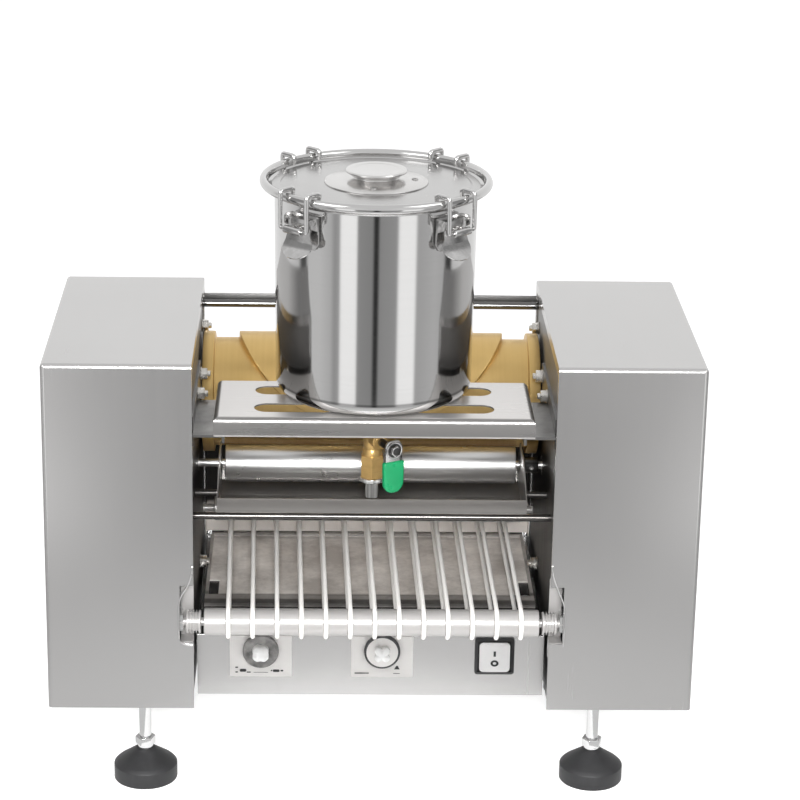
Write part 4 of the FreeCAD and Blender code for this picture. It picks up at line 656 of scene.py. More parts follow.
@dataclass(frozen=True)
class Finish:
    """One finish of the machine: its colours, its gloss and its fine marks.

    The second colour shows in the clouds and marks by the two shares. Bump is
    the depth of the marks in millimetres, and specks that of the fine grain.
    Bands paint shade or light into the colour at some places along an axis.
    """

    name: str
    colour: Colour
    second: Colour
    roughness: Pair
    metallic: float = 0.0
    grain: Grain = Grain.EVEN
    cloud_scale: float = 14.0
    speck_scale: float = 380.0
    clouds: float = 0.35
    marks: float = 0.3
    bump: float = 0.004
    specks: float = 0.0
    coat: float = 0.0
    specular: float = 0.5
    bands: tuple[Band, ...] = ()

    def material(self, effects: Effects) -> bpy.types.Material:
        """Builds the finish as a material.

        Args:
            effects: the shared node groups.

        Returns:
            The new material.
        """
        mat = bpy.data.materials.new(self.name)
        mat.use_nodes = True
        g = Graph(mat.node_tree)
        place = g.add("ShaderNodeTexCoord").outputs["Object"]
        pins = {
            "Vector": place,
            "Stretch": self.grain.value,
            "Cloud Scale": self.cloud_scale,
            "Speck Scale": self.speck_scale,
        }
        marks = g.add("ShaderNodeGroup", pins, node_tree=effects.marks).outputs
        pins = {
            "Colour": (*self.colour, 1.0),
            "Second": (*self.second, 1.0),
            "Mask A": marks["Clouds"],
            "Mask B": marks["Marks"],
            "Share A": self.clouds,
            "Share B": self.marks,
        }
        colour = g.add("ShaderNodeGroup", pins, node_tree=effects.tone).outputs["Colour"]
        for axis, stops in self.bands:
            colour = self.banded(g, place, colour, axis, stops)
        pins = {0: marks["Marks"], 1: 0.5, 2: g.times(marks["Clouds"], 0.5)}
        mean = g.add("ShaderNodeMath", pins, operation="MULTIPLY_ADD")
        low, high = self.roughness
        pins = {
            "Value": mean.outputs[0],
            "From Min": 0.3,
            "From Max": 0.7,
            "To Min": low,
            "To Max": high}
        rough = g.add("ShaderNodeMapRange", pins)
        shader = mat.node_tree.nodes["Principled BSDF"]
        g.feed(shader, {
            "Base Color": colour,
            "Metallic": self.metallic,
            "Roughness": rough.outputs[0],
            "Coat Weight": self.coat,
            "Coat Roughness": 0.15,
            "Specular IOR Level": self.specular,
        })
        pins = {}
        for depth, source in ((self.bump, "Marks"), (self.specks, "Specks")):
            if depth:
                pins |= {"Distance": depth * MM, "Strength": 1.0, "Height": marks[source]}
                pins = {"Normal": g.add("ShaderNodeBump", pins).outputs[0]}
        g.feed(shader, pins)
        return mat

    def banded(
        self,
        g: Graph,
        place: bpy.types.NodeSocket,
        colour: bpy.types.NodeSocket,
        axis: Axis,
        stops: Outline,
    ) -> bpy.types.NodeSocket:
        """Paints shade or light into a colour by its place along an axis.

        Args:
            g: the material's nodes.
            place: the object coordinates.
            colour: the colour before it is shaded.
            axis: the axis.
            stops: (place in millimetres, share of the colour), lowest first.

        Returns:
            The shaded colour.
        """
        low, high = stops[0][0] * MM, stops[-1][0] * MM
        split = g.add("ShaderNodeSeparateXYZ", {0: place})
        pins = {"Value": split.outputs[axis.value], "From Min": low, "From Max": high}
        span = g.add("ShaderNodeMapRange", pins)
        shares = [((spot * MM - low) / (high - low), share) for spot, share in stops]
        pins = {"Factor": 1.0, 6: colour, 7: g.greys(span.outputs[0], shares)}
        return g.add("ShaderNodeMix", pins, data_type="RGBA", blend_type="MULTIPLY").outputs[2]


STAINLESS = dict(colour=(0.60, 0.593, 0.587), second=(0.52, 0.513, 0.507), metallic=1.0)


class Look(Enum):
    """The finishes of the machine, by what they are on."""

    HOUSING = Finish(
        "satin steel", **STAINLESS, roughness=(0.24, 0.28), grain=Grain.SHEET, clouds=0.15,
        marks=0.03, bump=0.0, cloud_scale=5.0)
    # The base's top face is painted near black: painted shade under the tray and the splash sheet.
    BASE = Finish(
        "base steel", **STAINLESS, roughness=(0.24, 0.28), grain=Grain.SHEET, clouds=0.15,
        marks=0.03, bump=0.0, cloud_scale=5.0,
        bands=(band(Axis.Z, (90.0, 1.0), (157.4, 1.0), (158.4, 0.15), (160.0, 0.15)),))
    PLATE = Finish(
        "rolled plate", (0.36, 0.355, 0.35), (0.20, 0.197, 0.193), (0.26, 0.40), 1.0, Grain.EVEN,
        30.0, clouds=0.7, marks=0.2, bump=0.001)
    # The inner plates are painted near black below 300 mm and lighter towards the top: painted
    # shade deep between the housings.
    INNER = Finish(
        "inner plate", (0.34, 0.332, 0.324), (0.24, 0.234, 0.228), (0.32, 0.46), 0.4, Grain.ALONG_Z,
        10.0, clouds=0.4, marks=0.2, bump=0.001,
        bands=(band(Axis.Z, (93.0, 0.08), (300.0, 0.08), (345.0, 0.6), (441.0, 0.8)),))
    # The shelf's front lip is painted darker as painted shade, with a painted highlight along its
    # lower edge and a painted dark line along its top edge.
    SHELF = Finish(
        "shelf steel", (0.74, 0.72, 0.705), (0.66, 0.64, 0.625), (0.24, 0.34), 0.8, Grain.ALONG_X,
        9.0, clouds=0.25, marks=0.12, bump=0.001,
        bands=(band(
            Axis.Z, (371.0, 0.95), (372.6, 0.9), (373.4, 0.38), (384.0, 0.42), (386.4, 0.5),
            (389.2, 0.3), (389.8, 0.6), (390.0, 1.0)),))
    # Both ends of the trough, and of the tray's pull, are painted dark: painted shade next to the
    # housings.
    TROUGH = Finish(
        "trough sheet", (0.36, 0.345, 0.33), (0.27, 0.26, 0.25), (0.28, 0.40), 0.9, Grain.ALONG_X,
        9.0, clouds=0.35, marks=0.15, bump=0.001,
        bands=(band(
            Axis.X, (-180.0, 0.15), (-151.6, 0.15), (-150.4, 1.0), (-148.0, 1.0), (148.0, 1.0),
            (150.4, 1.0), (151.6, 0.15), (180.0, 0.15)),))
    # The splash sheet is light like the tray up to 193 mm and painted near black above: painted
    # shade behind the drum.
    SPLASH = Finish(
        "splash sheet", (0.82, 0.77, 0.725), (0.60, 0.56, 0.52), (0.5, 0.65), 0.0, Grain.EVEN, 16.0,
        clouds=0.5, marks=0.2, bump=0.001, specular=0.2,
        bands=(band(Axis.Z, (160.0, 1.0), (193.0, 1.0), (199.0, 0.035), (290.0, 0.02)),))
    BARREL = Finish(
        "coated roller", (0.43, 0.418, 0.41), (0.39, 0.378, 0.37), (0.29, 0.31), 0.3, Grain.EVEN,
        12.0, clouds=0.2, marks=0.1, bump=0.0)
    COLLAR = Finish(
        "blued collar", (0.13, 0.128, 0.125), (0.07, 0.069, 0.068), (0.25, 0.4), 0.9, Grain.HOOPS_X,
        60.0, clouds=0.4, marks=0.3, bump=0.001)
    TIE = Finish(
        "tie rod", (0.17, 0.167, 0.165), (0.12, 0.118, 0.116), (0.10, 0.18), 1.0, Grain.ALONG_X,
        20.0, clouds=0.2, marks=0.1, bump=0.0004)
    GUARD = Finish(
        "guard rod", (0.11, 0.104, 0.1), (0.08, 0.075, 0.072), (0.16, 0.26), 0.9, Grain.ALONG_X,
        20.0, clouds=0.3, marks=0.1, bump=0.0005)
    # Painted shadow lines cross the tray's front edge, and its rear strip and its rim are painted
    # darker as painted shade; the clouds are its own mottled tone.
    PAN = Finish(
        "washed tray with painted shade", (1.0, 0.95, 0.90), (0.52, 0.48, 0.445), (0.36, 0.5), 0.05, Grain.EVEN, 13.0,
        clouds=1.05, marks=0.3, bump=0.001,
        bands=(
            band(
                Axis.Y, (-51.0, 0.2), (-42.0, 0.22), (-38.5, 0.85), (-29.5, 0.85), (-27.0, 0.25),
                (-23.0, 0.3), (-19.0, 0.95), (124.0, 1.0), (128.0, 0.8), (136.0, 0.8)),
            band(Axis.Z, (158.0, 1.0), (160.4, 1.0), (161.4, 0.5), (164.0, 0.5))))
    # A dark line is painted round the bucket's wall just above its rounded foot, and the wall above
    # it is slightly darker than the foot.
    MIRROR = Finish(
        "polished steel", (0.68, 0.675, 0.67), (0.58, 0.575, 0.57), (0.06, 0.12), 1.0,
        Grain.HOOPS_Z, 9.0, clouds=0.15, marks=0.12, bump=0.0004,
        bands=(band(
            Axis.Z, (389.0, 1.0), (401.2, 1.0), (402.0, 0.42), (403.2, 0.5), (404.6, 0.94),
            (412.0, 0.94)),))
    LID = Finish(
        "lid steel", (0.55, 0.545, 0.54), (0.46, 0.455, 0.45), (0.16, 0.26), 1.0, Grain.HOOPS_Z,
        9.0, clouds=0.15, marks=0.2, bump=0.0006)
    KNOB = Finish(
        "knob steel", (0.74, 0.73, 0.72), (0.62, 0.61, 0.60), (0.18, 0.30), 1.0, Grain.HOOPS_Z,
        20.0, clouds=0.2, marks=0.2, bump=0.0006)
    LATCH = Finish(
        "pressed latch", (0.66, 0.655, 0.65), (0.40, 0.395, 0.39), (0.14, 0.26), 1.0, Grain.EVEN,
        90.0, clouds=0.5, marks=0.15, bump=0.001)
    WIRE = Finish(
        "latch wire", (0.72, 0.715, 0.71), (0.58, 0.575, 0.57), (0.08, 0.18), 1.0, Grain.EVEN, 80.0,
        clouds=0.3, marks=0.1, bump=0.0005)
    # The nozzle's dark streaks along its length are painted reflections in its colour.
    SPOUT = Finish(
        "spout with painted reflection stripes", (0.98, 0.98, 0.96), (0.24, 0.235, 0.23), (0.12, 0.22), 0.6, Grain.ALONG_Z,
        30.0, clouds=0.1, marks=1.0, bump=0.0004)
    FOOT_ROD = Finish(
        "foot rod", (0.74, 0.74, 0.74), (0.60, 0.60, 0.60), (0.08, 0.16), 1.0, Grain.ALONG_Z, 30.0,
        clouds=0.3, marks=0.15, bump=0.0006)
    ROCKER = Finish(
        "rocker cap", (0.88, 0.87, 0.865), (0.80, 0.79, 0.785), (0.3, 0.42), 0.0, Grain.EVEN, 30.0,
        1100.0, clouds=0.3, marks=0.2, bump=0.001, specks=0.004)
    ROLLER = Finish(
        "ground roller", (0.76, 0.755, 0.75), (0.66, 0.655, 0.65), (0.26, 0.34), 1.0, Grain.EVEN,
        10.0, clouds=0.15, marks=0.1, bump=0.0002)
    CHROME = Finish(
        "plated rod", (0.75, 0.75, 0.75), (0.62, 0.62, 0.62), (0.08, 0.16), 1.0, Grain.ALONG_X,
        20.0, clouds=0.2, marks=0.1, bump=0.0005)
    ZINC = Finish(
        "zinc plating", (0.70, 0.70, 0.69), (0.54, 0.55, 0.55), (0.20, 0.34), 1.0, Grain.EVEN, 60.0,
        clouds=0.5, marks=0.1, bump=0.001)
    BOLT = Finish(
        "bolt steel", (0.86, 0.835, 0.79), (0.70, 0.68, 0.64), (0.22, 0.34), 0.85, Grain.EVEN, 90.0,
        clouds=0.4, marks=0.2, bump=0.002)
    GOLD = Finish(
        "golden coating", (0.86, 0.60, 0.24), (0.66, 0.42, 0.135), (0.32, 0.44), 0.75,
        Grain.HOOPS_X, 9.0, clouds=0.4, marks=0.12, bump=0.0004, coat=0.08)
    BRASS = Finish(
        "turned brass", (0.76, 0.51, 0.20), (0.48, 0.29, 0.10), (0.28, 0.40), 0.72, Grain.HOOPS_Z,
        50.0, clouds=0.5, marks=0.3, bump=0.002)
    NUT = Finish(
        "bright nut", (0.80, 0.79, 0.78), (0.55, 0.545, 0.54), (0.10, 0.2), 1.0, Grain.EVEN, 160.0,
        clouds=0.5, marks=0.1, bump=0.001)
    STEEL = Finish(
        "turned steel", (0.52, 0.51, 0.50), (0.36, 0.355, 0.35), (0.22, 0.36), 1.0, Grain.EVEN,
        40.0, clouds=0.3, marks=0.3, bump=0.002)
    RUBBER = Finish(
        "foot rubber", (0.012, 0.012, 0.013), (0.03, 0.03, 0.032), (0.42, 0.6), 0.0, Grain.EVEN,
        60.0, 900.0, clouds=0.4, marks=0.3, bump=0.003, specks=0.01)
    VINYL = Finish(
        "dipped vinyl", (0.003, 0.30, 0.11), (0.002, 0.235, 0.078), (0.22, 0.34), 0.0, Grain.EVEN,
        30.0, clouds=0.4, marks=0.1, bump=0.002, coat=0.25)
    CORD = Finish(
        "white cord", (0.97, 0.95, 0.92), (0.90, 0.875, 0.84), (0.5, 0.65), 0.0, Grain.EVEN, 60.0,
        1500.0, clouds=0.4, marks=0.3, bump=0.03, specks=0.03)
    BLACK = Finish(
        "black moulding", (0.02, 0.02, 0.021), (0.035, 0.035, 0.037), (0.34, 0.48), 0.0, Grain.EVEN,
        40.0, 1100.0, clouds=0.3, marks=0.2, bump=0.002, specks=0.008)
    GREY = Finish(
        "grey moulding", (0.52, 0.53, 0.54), (0.46, 0.47, 0.48), (0.36, 0.5), 0.0, Grain.EVEN, 30.0,
        1100.0, clouds=0.3, marks=0.2, bump=0.001, specks=0.006)
    DIAL = Finish(
        "dial skirt", (0.03, 0.029, 0.028), (0.17, 0.165, 0.16), (0.3, 0.45), 0.1, Grain.EVEN,
        130.0, 900.0, clouds=0.95, marks=0.15, bump=0.004, specks=0.01)
    WHITE = Finish(
        "white moulding", (0.96, 0.96, 0.95), (0.88, 0.88, 0.87), (0.3, 0.45), 0.0, Grain.EVEN,
        30.0, 1000.0, clouds=0.3, marks=0.1, bump=0.001, specks=0.004)
    LABEL = Finish(
        "label card", (0.82, 0.80, 0.78), (0.76, 0.74, 0.72), (0.35, 0.5), 0.0, Grain.ALONG_X, 30.0,
        clouds=0.3, marks=0.2, bump=0.001)
    MOTOR = Finish(
        "motor paint", (0.10, 0.105, 0.11), (0.07, 0.072, 0.075), (0.4, 0.55), 0.0, Grain.EVEN,
        30.0, 700.0, clouds=0.4, marks=0.2, bump=0.003, specks=0.02)
    ALUMINIUM = Finish(
        "cast aluminium", (0.72, 0.72, 0.73), (0.60, 0.60, 0.61), (0.35, 0.5), 1.0, Grain.EVEN,
        30.0, 600.0, clouds=0.4, marks=0.2, bump=0.003, specks=0.01)


class Wardrobe:
    """Keeps one material for each look, made when it is first asked for."""

    def __init__(self) -> None:
        """Starts with the shared effects and no materials."""
        self.effects = Effects()
        self._made: dict[Look, bpy.types.Material] = {}

    def get(self, look: Look) -> bpy.types.Material:
        """Makes the material of a look once and keeps it.

        Args:
            look: the look.

        Returns:
            The material.
        """
        if look not in self._made:
            self._made[look] = look.value.material(self.effects)
        return self._made[look]

    def dress(self, obj: bpy.types.Object, look: Look) -> None:
        """Gives an object one look all over."""
        obj.data.materials.clear()
        obj.data.materials.append(self.get(look))


@dataclass
class Assembly:
    """What every sub-assembly has: the body it rides on and its wardrobe."""

    wardrobe: Wardrobe
    body: str = "machine_frame"
    made: list[str] = field(default_factory=list)

    def piece(
        self,
        name: str,
        bm: BMesh,
        look: Look,
        slot: str,
        replaces: Sequence[str] = (),
        body: str = "",
        smooth: float = 32.0,
    ) -> bpy.types.Object:
        """slot: the record's material slot; it is not used.
            replaces: CAD nodes that it stands for.
            body: the body it rides on, where not the assembly's own.
            smooth: edges sharper than this many degrees stay sharp.

        Returns:
            The new object.
        """
        obj = put_in(name, bm)
        for face in obj.data.polygons:
            face.use_smooth = True
        obj.data.set_sharp_from_angle(angle=math.radians(smooth))
        self.wardrobe.dress(obj, look)
        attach(obj, body or self.body)
        if replaces:
            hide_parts(*replaces)
        self.made.append(name)
        return obj

    def report(self) -> None:
        """Logs the pieces that were made."""
        for name in self.made:
            LOG.info("%s: %s", type(self).__name__, name)


# --------------------------------------------------------------------------
# The nodes that keep their CAD shape
# --------------------------------------------------------------------------

NODE_LOOKS: dict[Look, tuple[str, ...]] = {
    Look.HOUSING: ("housing_cover_left", "housing_cover_right", "housing_floors"),
    Look.BASE: ("control_box_shell", "control_box_floor"),
    Look.INNER: ("inner_plate_left", "inner_plate_right"),
    Look.SHELF: ("bucket_shelf",),
    Look.PLATE: ("shelf_brackets", "clamp_brackets"),
    Look.TROUGH: ("batter_trough",),
    Look.SPLASH: ("rear_tie_strip",),
    Look.PAN: ("drip_pan",),
    Look.MIRROR: ("batter_bucket", "bucket_lid", "lid_knob"),
    Look.ROLLER: (
        "applicator_roller", "string_roller_front", "string_roller_rear", "outlet_nozzle"),
    Look.CHROME: ("foot_stems",),
    Look.TIE: ("rear_tie_rod",),
    Look.GUARD: ("guard_rod",),
    Look.ZINC: (
        "string_roller_arms", "valve_handle", "valve_stem", "clamp_lever_1", "clamp_lever_2",
        "clamp_lever_3", "clamp_lever_4", "clamp_bail_1", "clamp_bail_2", "clamp_bail_3",
        "clamp_bail_4"),
    Look.BOLT: ("side_bolts",),
    Look.COLLAR: ("control_box_studs",),
    Look.GOLD: ("drum_shell",),
    Look.BRASS: ("valve_body",),
    Look.STEEL: (
        "drum_journals", "shaft_bearings", "drum_gear", "applicator_gear", "motor_pinion",
        "drum_heaters"),
    Look.RUBBER: ("foot_pads", "string_drive_belt"),
    Look.VINYL: ("handle_sleeve",),
    Look.CORD: ("conveyor_strings",),
    Look.BLACK: ("cable_gland", "switch_frame", "thermostat", "speed_control"),
    Look.GREY: ("switch_rocker",),
    Look.DIAL: ("dial_left", "dial_right"),
    Look.LABEL: ("label_plates",),
    Look.MOTOR: ("gear_motor",),
    Look.ALUMINIUM: ("drum_end_cups", "applicator_pulley", "string_roller_pulley")}


def dress_nodes(wardrobe: Wardrobe, nodes: dict[str, bpy.types.Object]) -> None:
    """Gives every CAD node its finish.

    Args:
        wardrobe: the materials.
        nodes: the CAD nodes by name.
    """
    for look, names in NODE_LOOKS.items():
        for name in names:
            wardrobe.dress(nodes[name], look)


# --------------------------------------------------------------------------
# Sub-assemblies
# --------------------------------------------------------------------------

LATCH_TURNS = (-43.0, 43.0, -137.0, 137.0)
"""Where the latches stand round the bucket, in degrees from the front."""

STAND = spun(90, Axis.X)
"""Stands a flat plate up so that it faces the front."""


@dataclass
class Bucket(Assembly):
    """The batter bucket with its lid and the lid's knob."""

    depth: float = -51.0
    floor: float = 390.0
    low_radius: float = 93.6
    high_radius: float = 95.6
    rim: float = 594.5
    rim_radius: float = 105.5
    bead: Pair = (4.0, 4.5)
    bore: float = 9.05
    lid_floor: float = 590.3
    lid_radius: float = 98.2
    wall: float = 1.2
    knob_foot: float = 49.0
    knob_neck: float = 22.0
    knob_head: float = 29.0
    screw_radius: float = 36.0

    def build(self) -> None:
        """Makes the vessel, the lid, the knob and its screws."""
        place = at(0, self.depth, 0)
        self.piece(
            "bucket_vessel", moved(self.vessel(), place), Look.MIRROR, "polished", ["batter_bucket"]
        )
        self.piece("bucket_cover", moved(self.cover(), place), Look.LID, "polished", ["bucket_lid"])
        self.piece("cover_knob", moved(self.knob(), place), Look.KNOB, "polished", ["lid_knob"])
        self.piece("knob_screws", moved(self.screws(), place), Look.STEEL, "polished")

    def vessel(self) -> BMesh:
        """Makes the wall with its rounded floor and rolled rim.

        Returns:
            The shape in metres.
        """
        outer = rounded(
            [
                (self.bore, self.floor), (self.low_radius, self.floor),
                (self.high_radius, self.rim - 8.0), (101.9, self.rim - 4.4)],
            {1: 12.0, 2: 3.0}, 8)
        across, up = self.bead
        angles = [math.radians(a) for a in range(-115, 181, 15)]
        bead = [
            (self.rim_radius + across * math.cos(a), self.rim + up * math.sin(a)) for a in angles]
        inner = rounded(
            [
                (101.4, self.rim - 2.4), (self.high_radius - self.wall, self.rim - 6.4),
                (self.low_radius - self.wall, self.floor + self.wall),
                (self.bore, self.floor + self.wall)],
            {1: 2.0, 2: 10.8}, 8)
        return lathe(outer + bead + inner, 160, closed=True)

    def cover(self) -> BMesh:
        """Makes the shallow lid with its flat rim.

        Returns:
            The shape in metres.
        """
        z = self.lid_floor
        return turned(
            [(0, z + 2.2), (50, z + 1.6), (88, z), (self.lid_radius, z), (self.lid_radius, z + 1.4),
             (90.5, z + 1.4), (88.0, z + 2.3), (50, z + 3.1), (0, z + 3.6)],
            {1: 30.0, 3: 0.5, 4: 0.5, 5: 1.0, 6: 1.5, 7: 30.0}, 4, 160)

    def knob(self) -> BMesh:
        """Makes the flared knob of the lid.

        Returns:
            The shape in metres.
        """
        z, foot, neck, head = self.lid_floor + 3.2, self.knob_foot, self.knob_neck, self.knob_head
        return turned(
            [
                (0, z), (foot, z), (foot, z + 1.1), (neck + 2.5, z + 3.4), (neck, z + 5.2),
                (neck, z + 7.6), (head - 0.1, z + 10.0), (head, z + 11.2), (head - 1, z + 12.4),
                (neck, z + 12.4), (neck - 2, z + 12.0), (0, z + 12.0)],
            {2: 0.6, 3: 6.0, 4: 1.2, 5: 1.4, 6: 0.8, 7: 0.5, 8: 0.5, 9: 0.8, 10: 0.8}, 4, 128)

    def screws(self) -> BMesh:
        """Makes the three screws that hold the knob.

        Returns:
            The shape in metres.
        """
        head = [(0, 0.9), (1.3, 0.9), (1.5, 2.0), (2.5, 1.8), (3.4, 0.8), (3.4, -0.8), (0, -0.8)]
        z = self.lid_floor + 4.7
        return together(
            moved(lathe(head, 24), spun(turn) @ at(self.screw_radius, 0, z))
            for turn in (0, -95, 130))


@dataclass
class Latch(Assembly):
    """One toggle latch of the bucket: its base, its lever and its wire."""

    number: int = 1
    turn: float = -43.0
    depth: float = -51.0
    wall_radius: float = 95.65
    pivot_radius: float = 104.0
    pivot: float = 576.0
    plate_radius: float = 106.6
    wire_radius: float = 1.7
    wire_foot: float = 568.0
    wire_top: float = 602.0
    wire_reach: float = 112.8
    hook_reach: float = 96.0
    half_wire: float = 16.4
    half_base: float = 17.0
    half_lever: float = 14.0
    leaf_length: float = 36.0
    leaf_flare: float = 10.5

    def build(self) -> None:
        """Makes the three pieces and turns them about the bucket."""
        place = at(0, self.depth, 0) @ spun(self.turn)
        tag = str(self.number)
        self.piece("latch_base_" + tag, moved(self.base(), place), Look.LATCH, "polished")
        self.piece("latch_lever_" + tag, moved(self.lever(), place), Look.LATCH, "polished",
                   ["clamp_lever_" + tag], "lever_" + tag)
        self.piece("latch_wire_" + tag, moved(self.wires(), place), Look.WIRE, "polished",
                   ["clamp_bail_" + tag], "bail_" + tag)

    def upright(self, outline: Outline, low: float, high: float) -> BMesh:
        """Returns a plate from (radius, height) corners, between two places along X."""
        side = Matrix(((0, 0, 1, 0), (-1, 0, 0, 0), (0, 1, 0, 0), (0, 0, 0, 1)))
        return moved(plate(outline, high - low, 0.3), at(low, 0, 0) @ side)

    def base(self) -> BMesh:
        """Makes the riveted base plate with its two cheeks.

        Returns:
            The shape in metres.
        """
        half, low, high = self.half_base, self.pivot - 28, self.pivot + 4
        outline = [
            (-half, low + 7), (-half + 5, low), (half - 5, low), (half, low + 7), (half, high),
            (-half, high)]
        parts = [moved(plate(outline, 1.5, 0.3), at(0, -self.wall_radius, 0) @ STAND)]
        cheek = rounded(
            [
                (self.wall_radius, high - 2), (self.wall_radius, high),
                (self.pivot_radius + 3.5, high), (self.pivot_radius + 3.5, high - 9),
                (self.wall_radius + 1, high - 14), (self.wall_radius, high - 14)],
            {2: 3.0, 3: 3.0}, 4)
        parts += [self.upright(cheek, half - 1.5, half), self.upright(cheek, -half, 1.5 - half)]
        rivet = [(0, 1.4), (1.4, 1.2), (2.3, 0.4), (2.4, 0), (0, 0)]
        for x in (-6.0, 6.0):
            parts.append(moved(lathe(rivet, 20), at(x, -self.wall_radius - 1.5, low + 5) @ STAND))
        return together(parts)

    def lever(self) -> BMesh:
        """Makes the leaf-shaped lever with its sides, its pin and its lug.

        Returns:
            The shape in metres.
        """
        top, reach, half = self.pivot + 2, self.plate_radius, self.half_lever

        def leaf(across: float, along: float) -> Point:
            """Places a point of the leaf.

            Args:
                across: share across the leaf.
                along: share along it, from the pin down.

            Returns:
                Its place in millimetres.
            """
            width = half * (0.88 + 0.36 * max(0.0, min((along - 0.3) / 0.4, 1.0)))
            if along > 0.7:
                width *= math.sqrt(max(0.10, 1.0 - 0.90 * ((along - 0.7) / 0.3) ** 2))
            side = 2 * across - 1
            out = self.leaf_flare * max(0.0, (along - 0.62) / 0.38) ** 1.5
            crown = 0.9 * (1 - side * side) * (1 - along * 0.5)
            return (
                side * width, -(reach - 0.9 + out + crown),
                top - self.leaf_length * along + 0.08 * out)

        parts = [sheet_of(12, 24, leaf, 1.2)]
        web = rounded(
            [
                (reach - 4.6, top), (reach - 1, top), (reach - 1, top - 22), (reach - 2, top - 22),
                (reach - 4.6, top - 8)],
            {4: 3.0}, 4)
        parts += [
            self.upright(web, half - 1.9, half - 0.7), self.upright(web, 0.7 - half, 1.9 - half)]
        pin = rounded(
            [
                (0, -self.half_base - 0.9), (2.6, -self.half_base - 0.9), (2.6, -self.half_base),
                (2, -self.half_base), (2, self.half_base), (2.6, self.half_base),
                (2.6, self.half_base + 0.9), (0, self.half_base + 0.9)],
            {1: 0.4, 6: 0.4}, 2)
        parts.append(moved(lathe(pin, 24), at(0, -self.pivot_radius, self.pivot) @ Axis.X.turn()))
        ear = rounded(
            [
                (reach - 1, self.wire_foot - 3), (reach + 8.4, self.wire_foot - 3),
                (reach + 8.4, self.wire_foot + 3), (reach - 1, self.wire_foot + 3)],
            {1: 2.6, 2: 2.6}, 4)
        parts += [self.upright(ear, 2.6, 4.4), self.upright(ear, -4.4, -2.6)]
        tube = turned(
            [(2.2, -10.5), (3.7, -10.5), (3.7, 10.5), (2.2, 10.5)], {1: 0.6, 2: 0.6}, 3, 40,
            closed=True)
        parts.append(moved(tube, at(0, -self.wire_reach, self.wire_foot) @ Axis.X.turn()))
        return together(parts)

    def wires(self) -> BMesh:
        """Makes the bent wire that hooks over the rim.

        Returns:
            The shape in metres.
        """
        half, foot, top = self.half_wire, self.wire_foot, self.wire_top
        out, hook = -self.wire_reach, -self.hook_reach
        side = [
            (half, hook, top - 8.4), (half, hook, top - 3), (half, hook - 0.4, top - 0.8),
            (half, hook - 3, top), (half, (out + hook) / 2, top), (half, out + 3, top),
            (half, out + 0.5, top - 0.5), (half, out, top - 3), (half, out, (foot + top) / 2),
            (half, out, foot + 3), (half - 0.5, out, foot + 0.5), (half - 3, out, foot)]
        swell = [0.9, 1.3, 1.5, 1.55, 1.5, 1.5, 1.45, 1.35, 1.2, 1.2, 1.1, 1.0]
        return wire(
            side + [(-x, y, z) for x, y, z in reversed(side)], self.wire_radius, sides=4,
            swell=swell + swell[::-1])


@dataclass
class Drum(Assembly):
    """The golden drum: its grooved shell and its raised baking pad."""

    depth: float = 82.0
    height: float = 339.0
    radius: float = 61.0
    floor_radius: float = 54.8
    bore_radius: float = 50.0
    half_length: float = 168.5
    ring: float = 11.6
    pad_radius: float = 133.0
    pad_turn: float = 17.7

    def build(self) -> None:
        """Makes the shell and the pad."""
        place = at(0, self.depth, self.height)
        self.piece(
            "drum_barrel", moved(self.shell(), place @ Axis.X.turn()), Look.GOLD, "gold",
            ["drum_shell"])
        self.piece("drum_pad", moved(self.pad(), place), Look.GOLD, "gold")

    def shell(self) -> BMesh:
        """Makes the shell with its two end rings.

        Returns:
            The shape in metres.
        """
        half, step = self.half_length, self.half_length - self.ring
        right = rounded(
            [
                (self.floor_radius, 0), (self.floor_radius, step), (self.radius, step),
                (self.radius, half), (self.bore_radius, half), (self.bore_radius, 0)],
            {1: 1.0, 2: 0.7, 3: 0.9, 4: 0.6}, 4)
        left = [(r, -z) for r, z in reversed(right)]
        return lathe(right + left[1:-1], 180, closed=True)

    def pad(self) -> BMesh:
        """Makes the round pad, wrapped on the drum.

        Returns:
            The shape in metres.
        """
        rise = self.radius - self.floor_radius
        rings = [(self.pad_radius * k / 30, rise) for k in range(30)]
        edge = rounded(
            [(self.pad_radius * 29.4 / 30, rise), (self.pad_radius, rise), (self.pad_radius, -0.5)],
            {1: 0.9}, 4)
        bm = lathe(rings + edge + [(self.pad_radius - 3, -0.5)], 200)
        for vert in bm.verts:
            angle = vert.co.y / (self.radius * MM) + math.radians(self.pad_turn)
            reach = self.floor_radius * MM + vert.co.z
            vert.co = (vert.co.x, reach * math.sin(angle), reach * math.cos(angle))
        bmesh.ops.recalc_face_normals(bm, faces=bm.faces)
        return bm


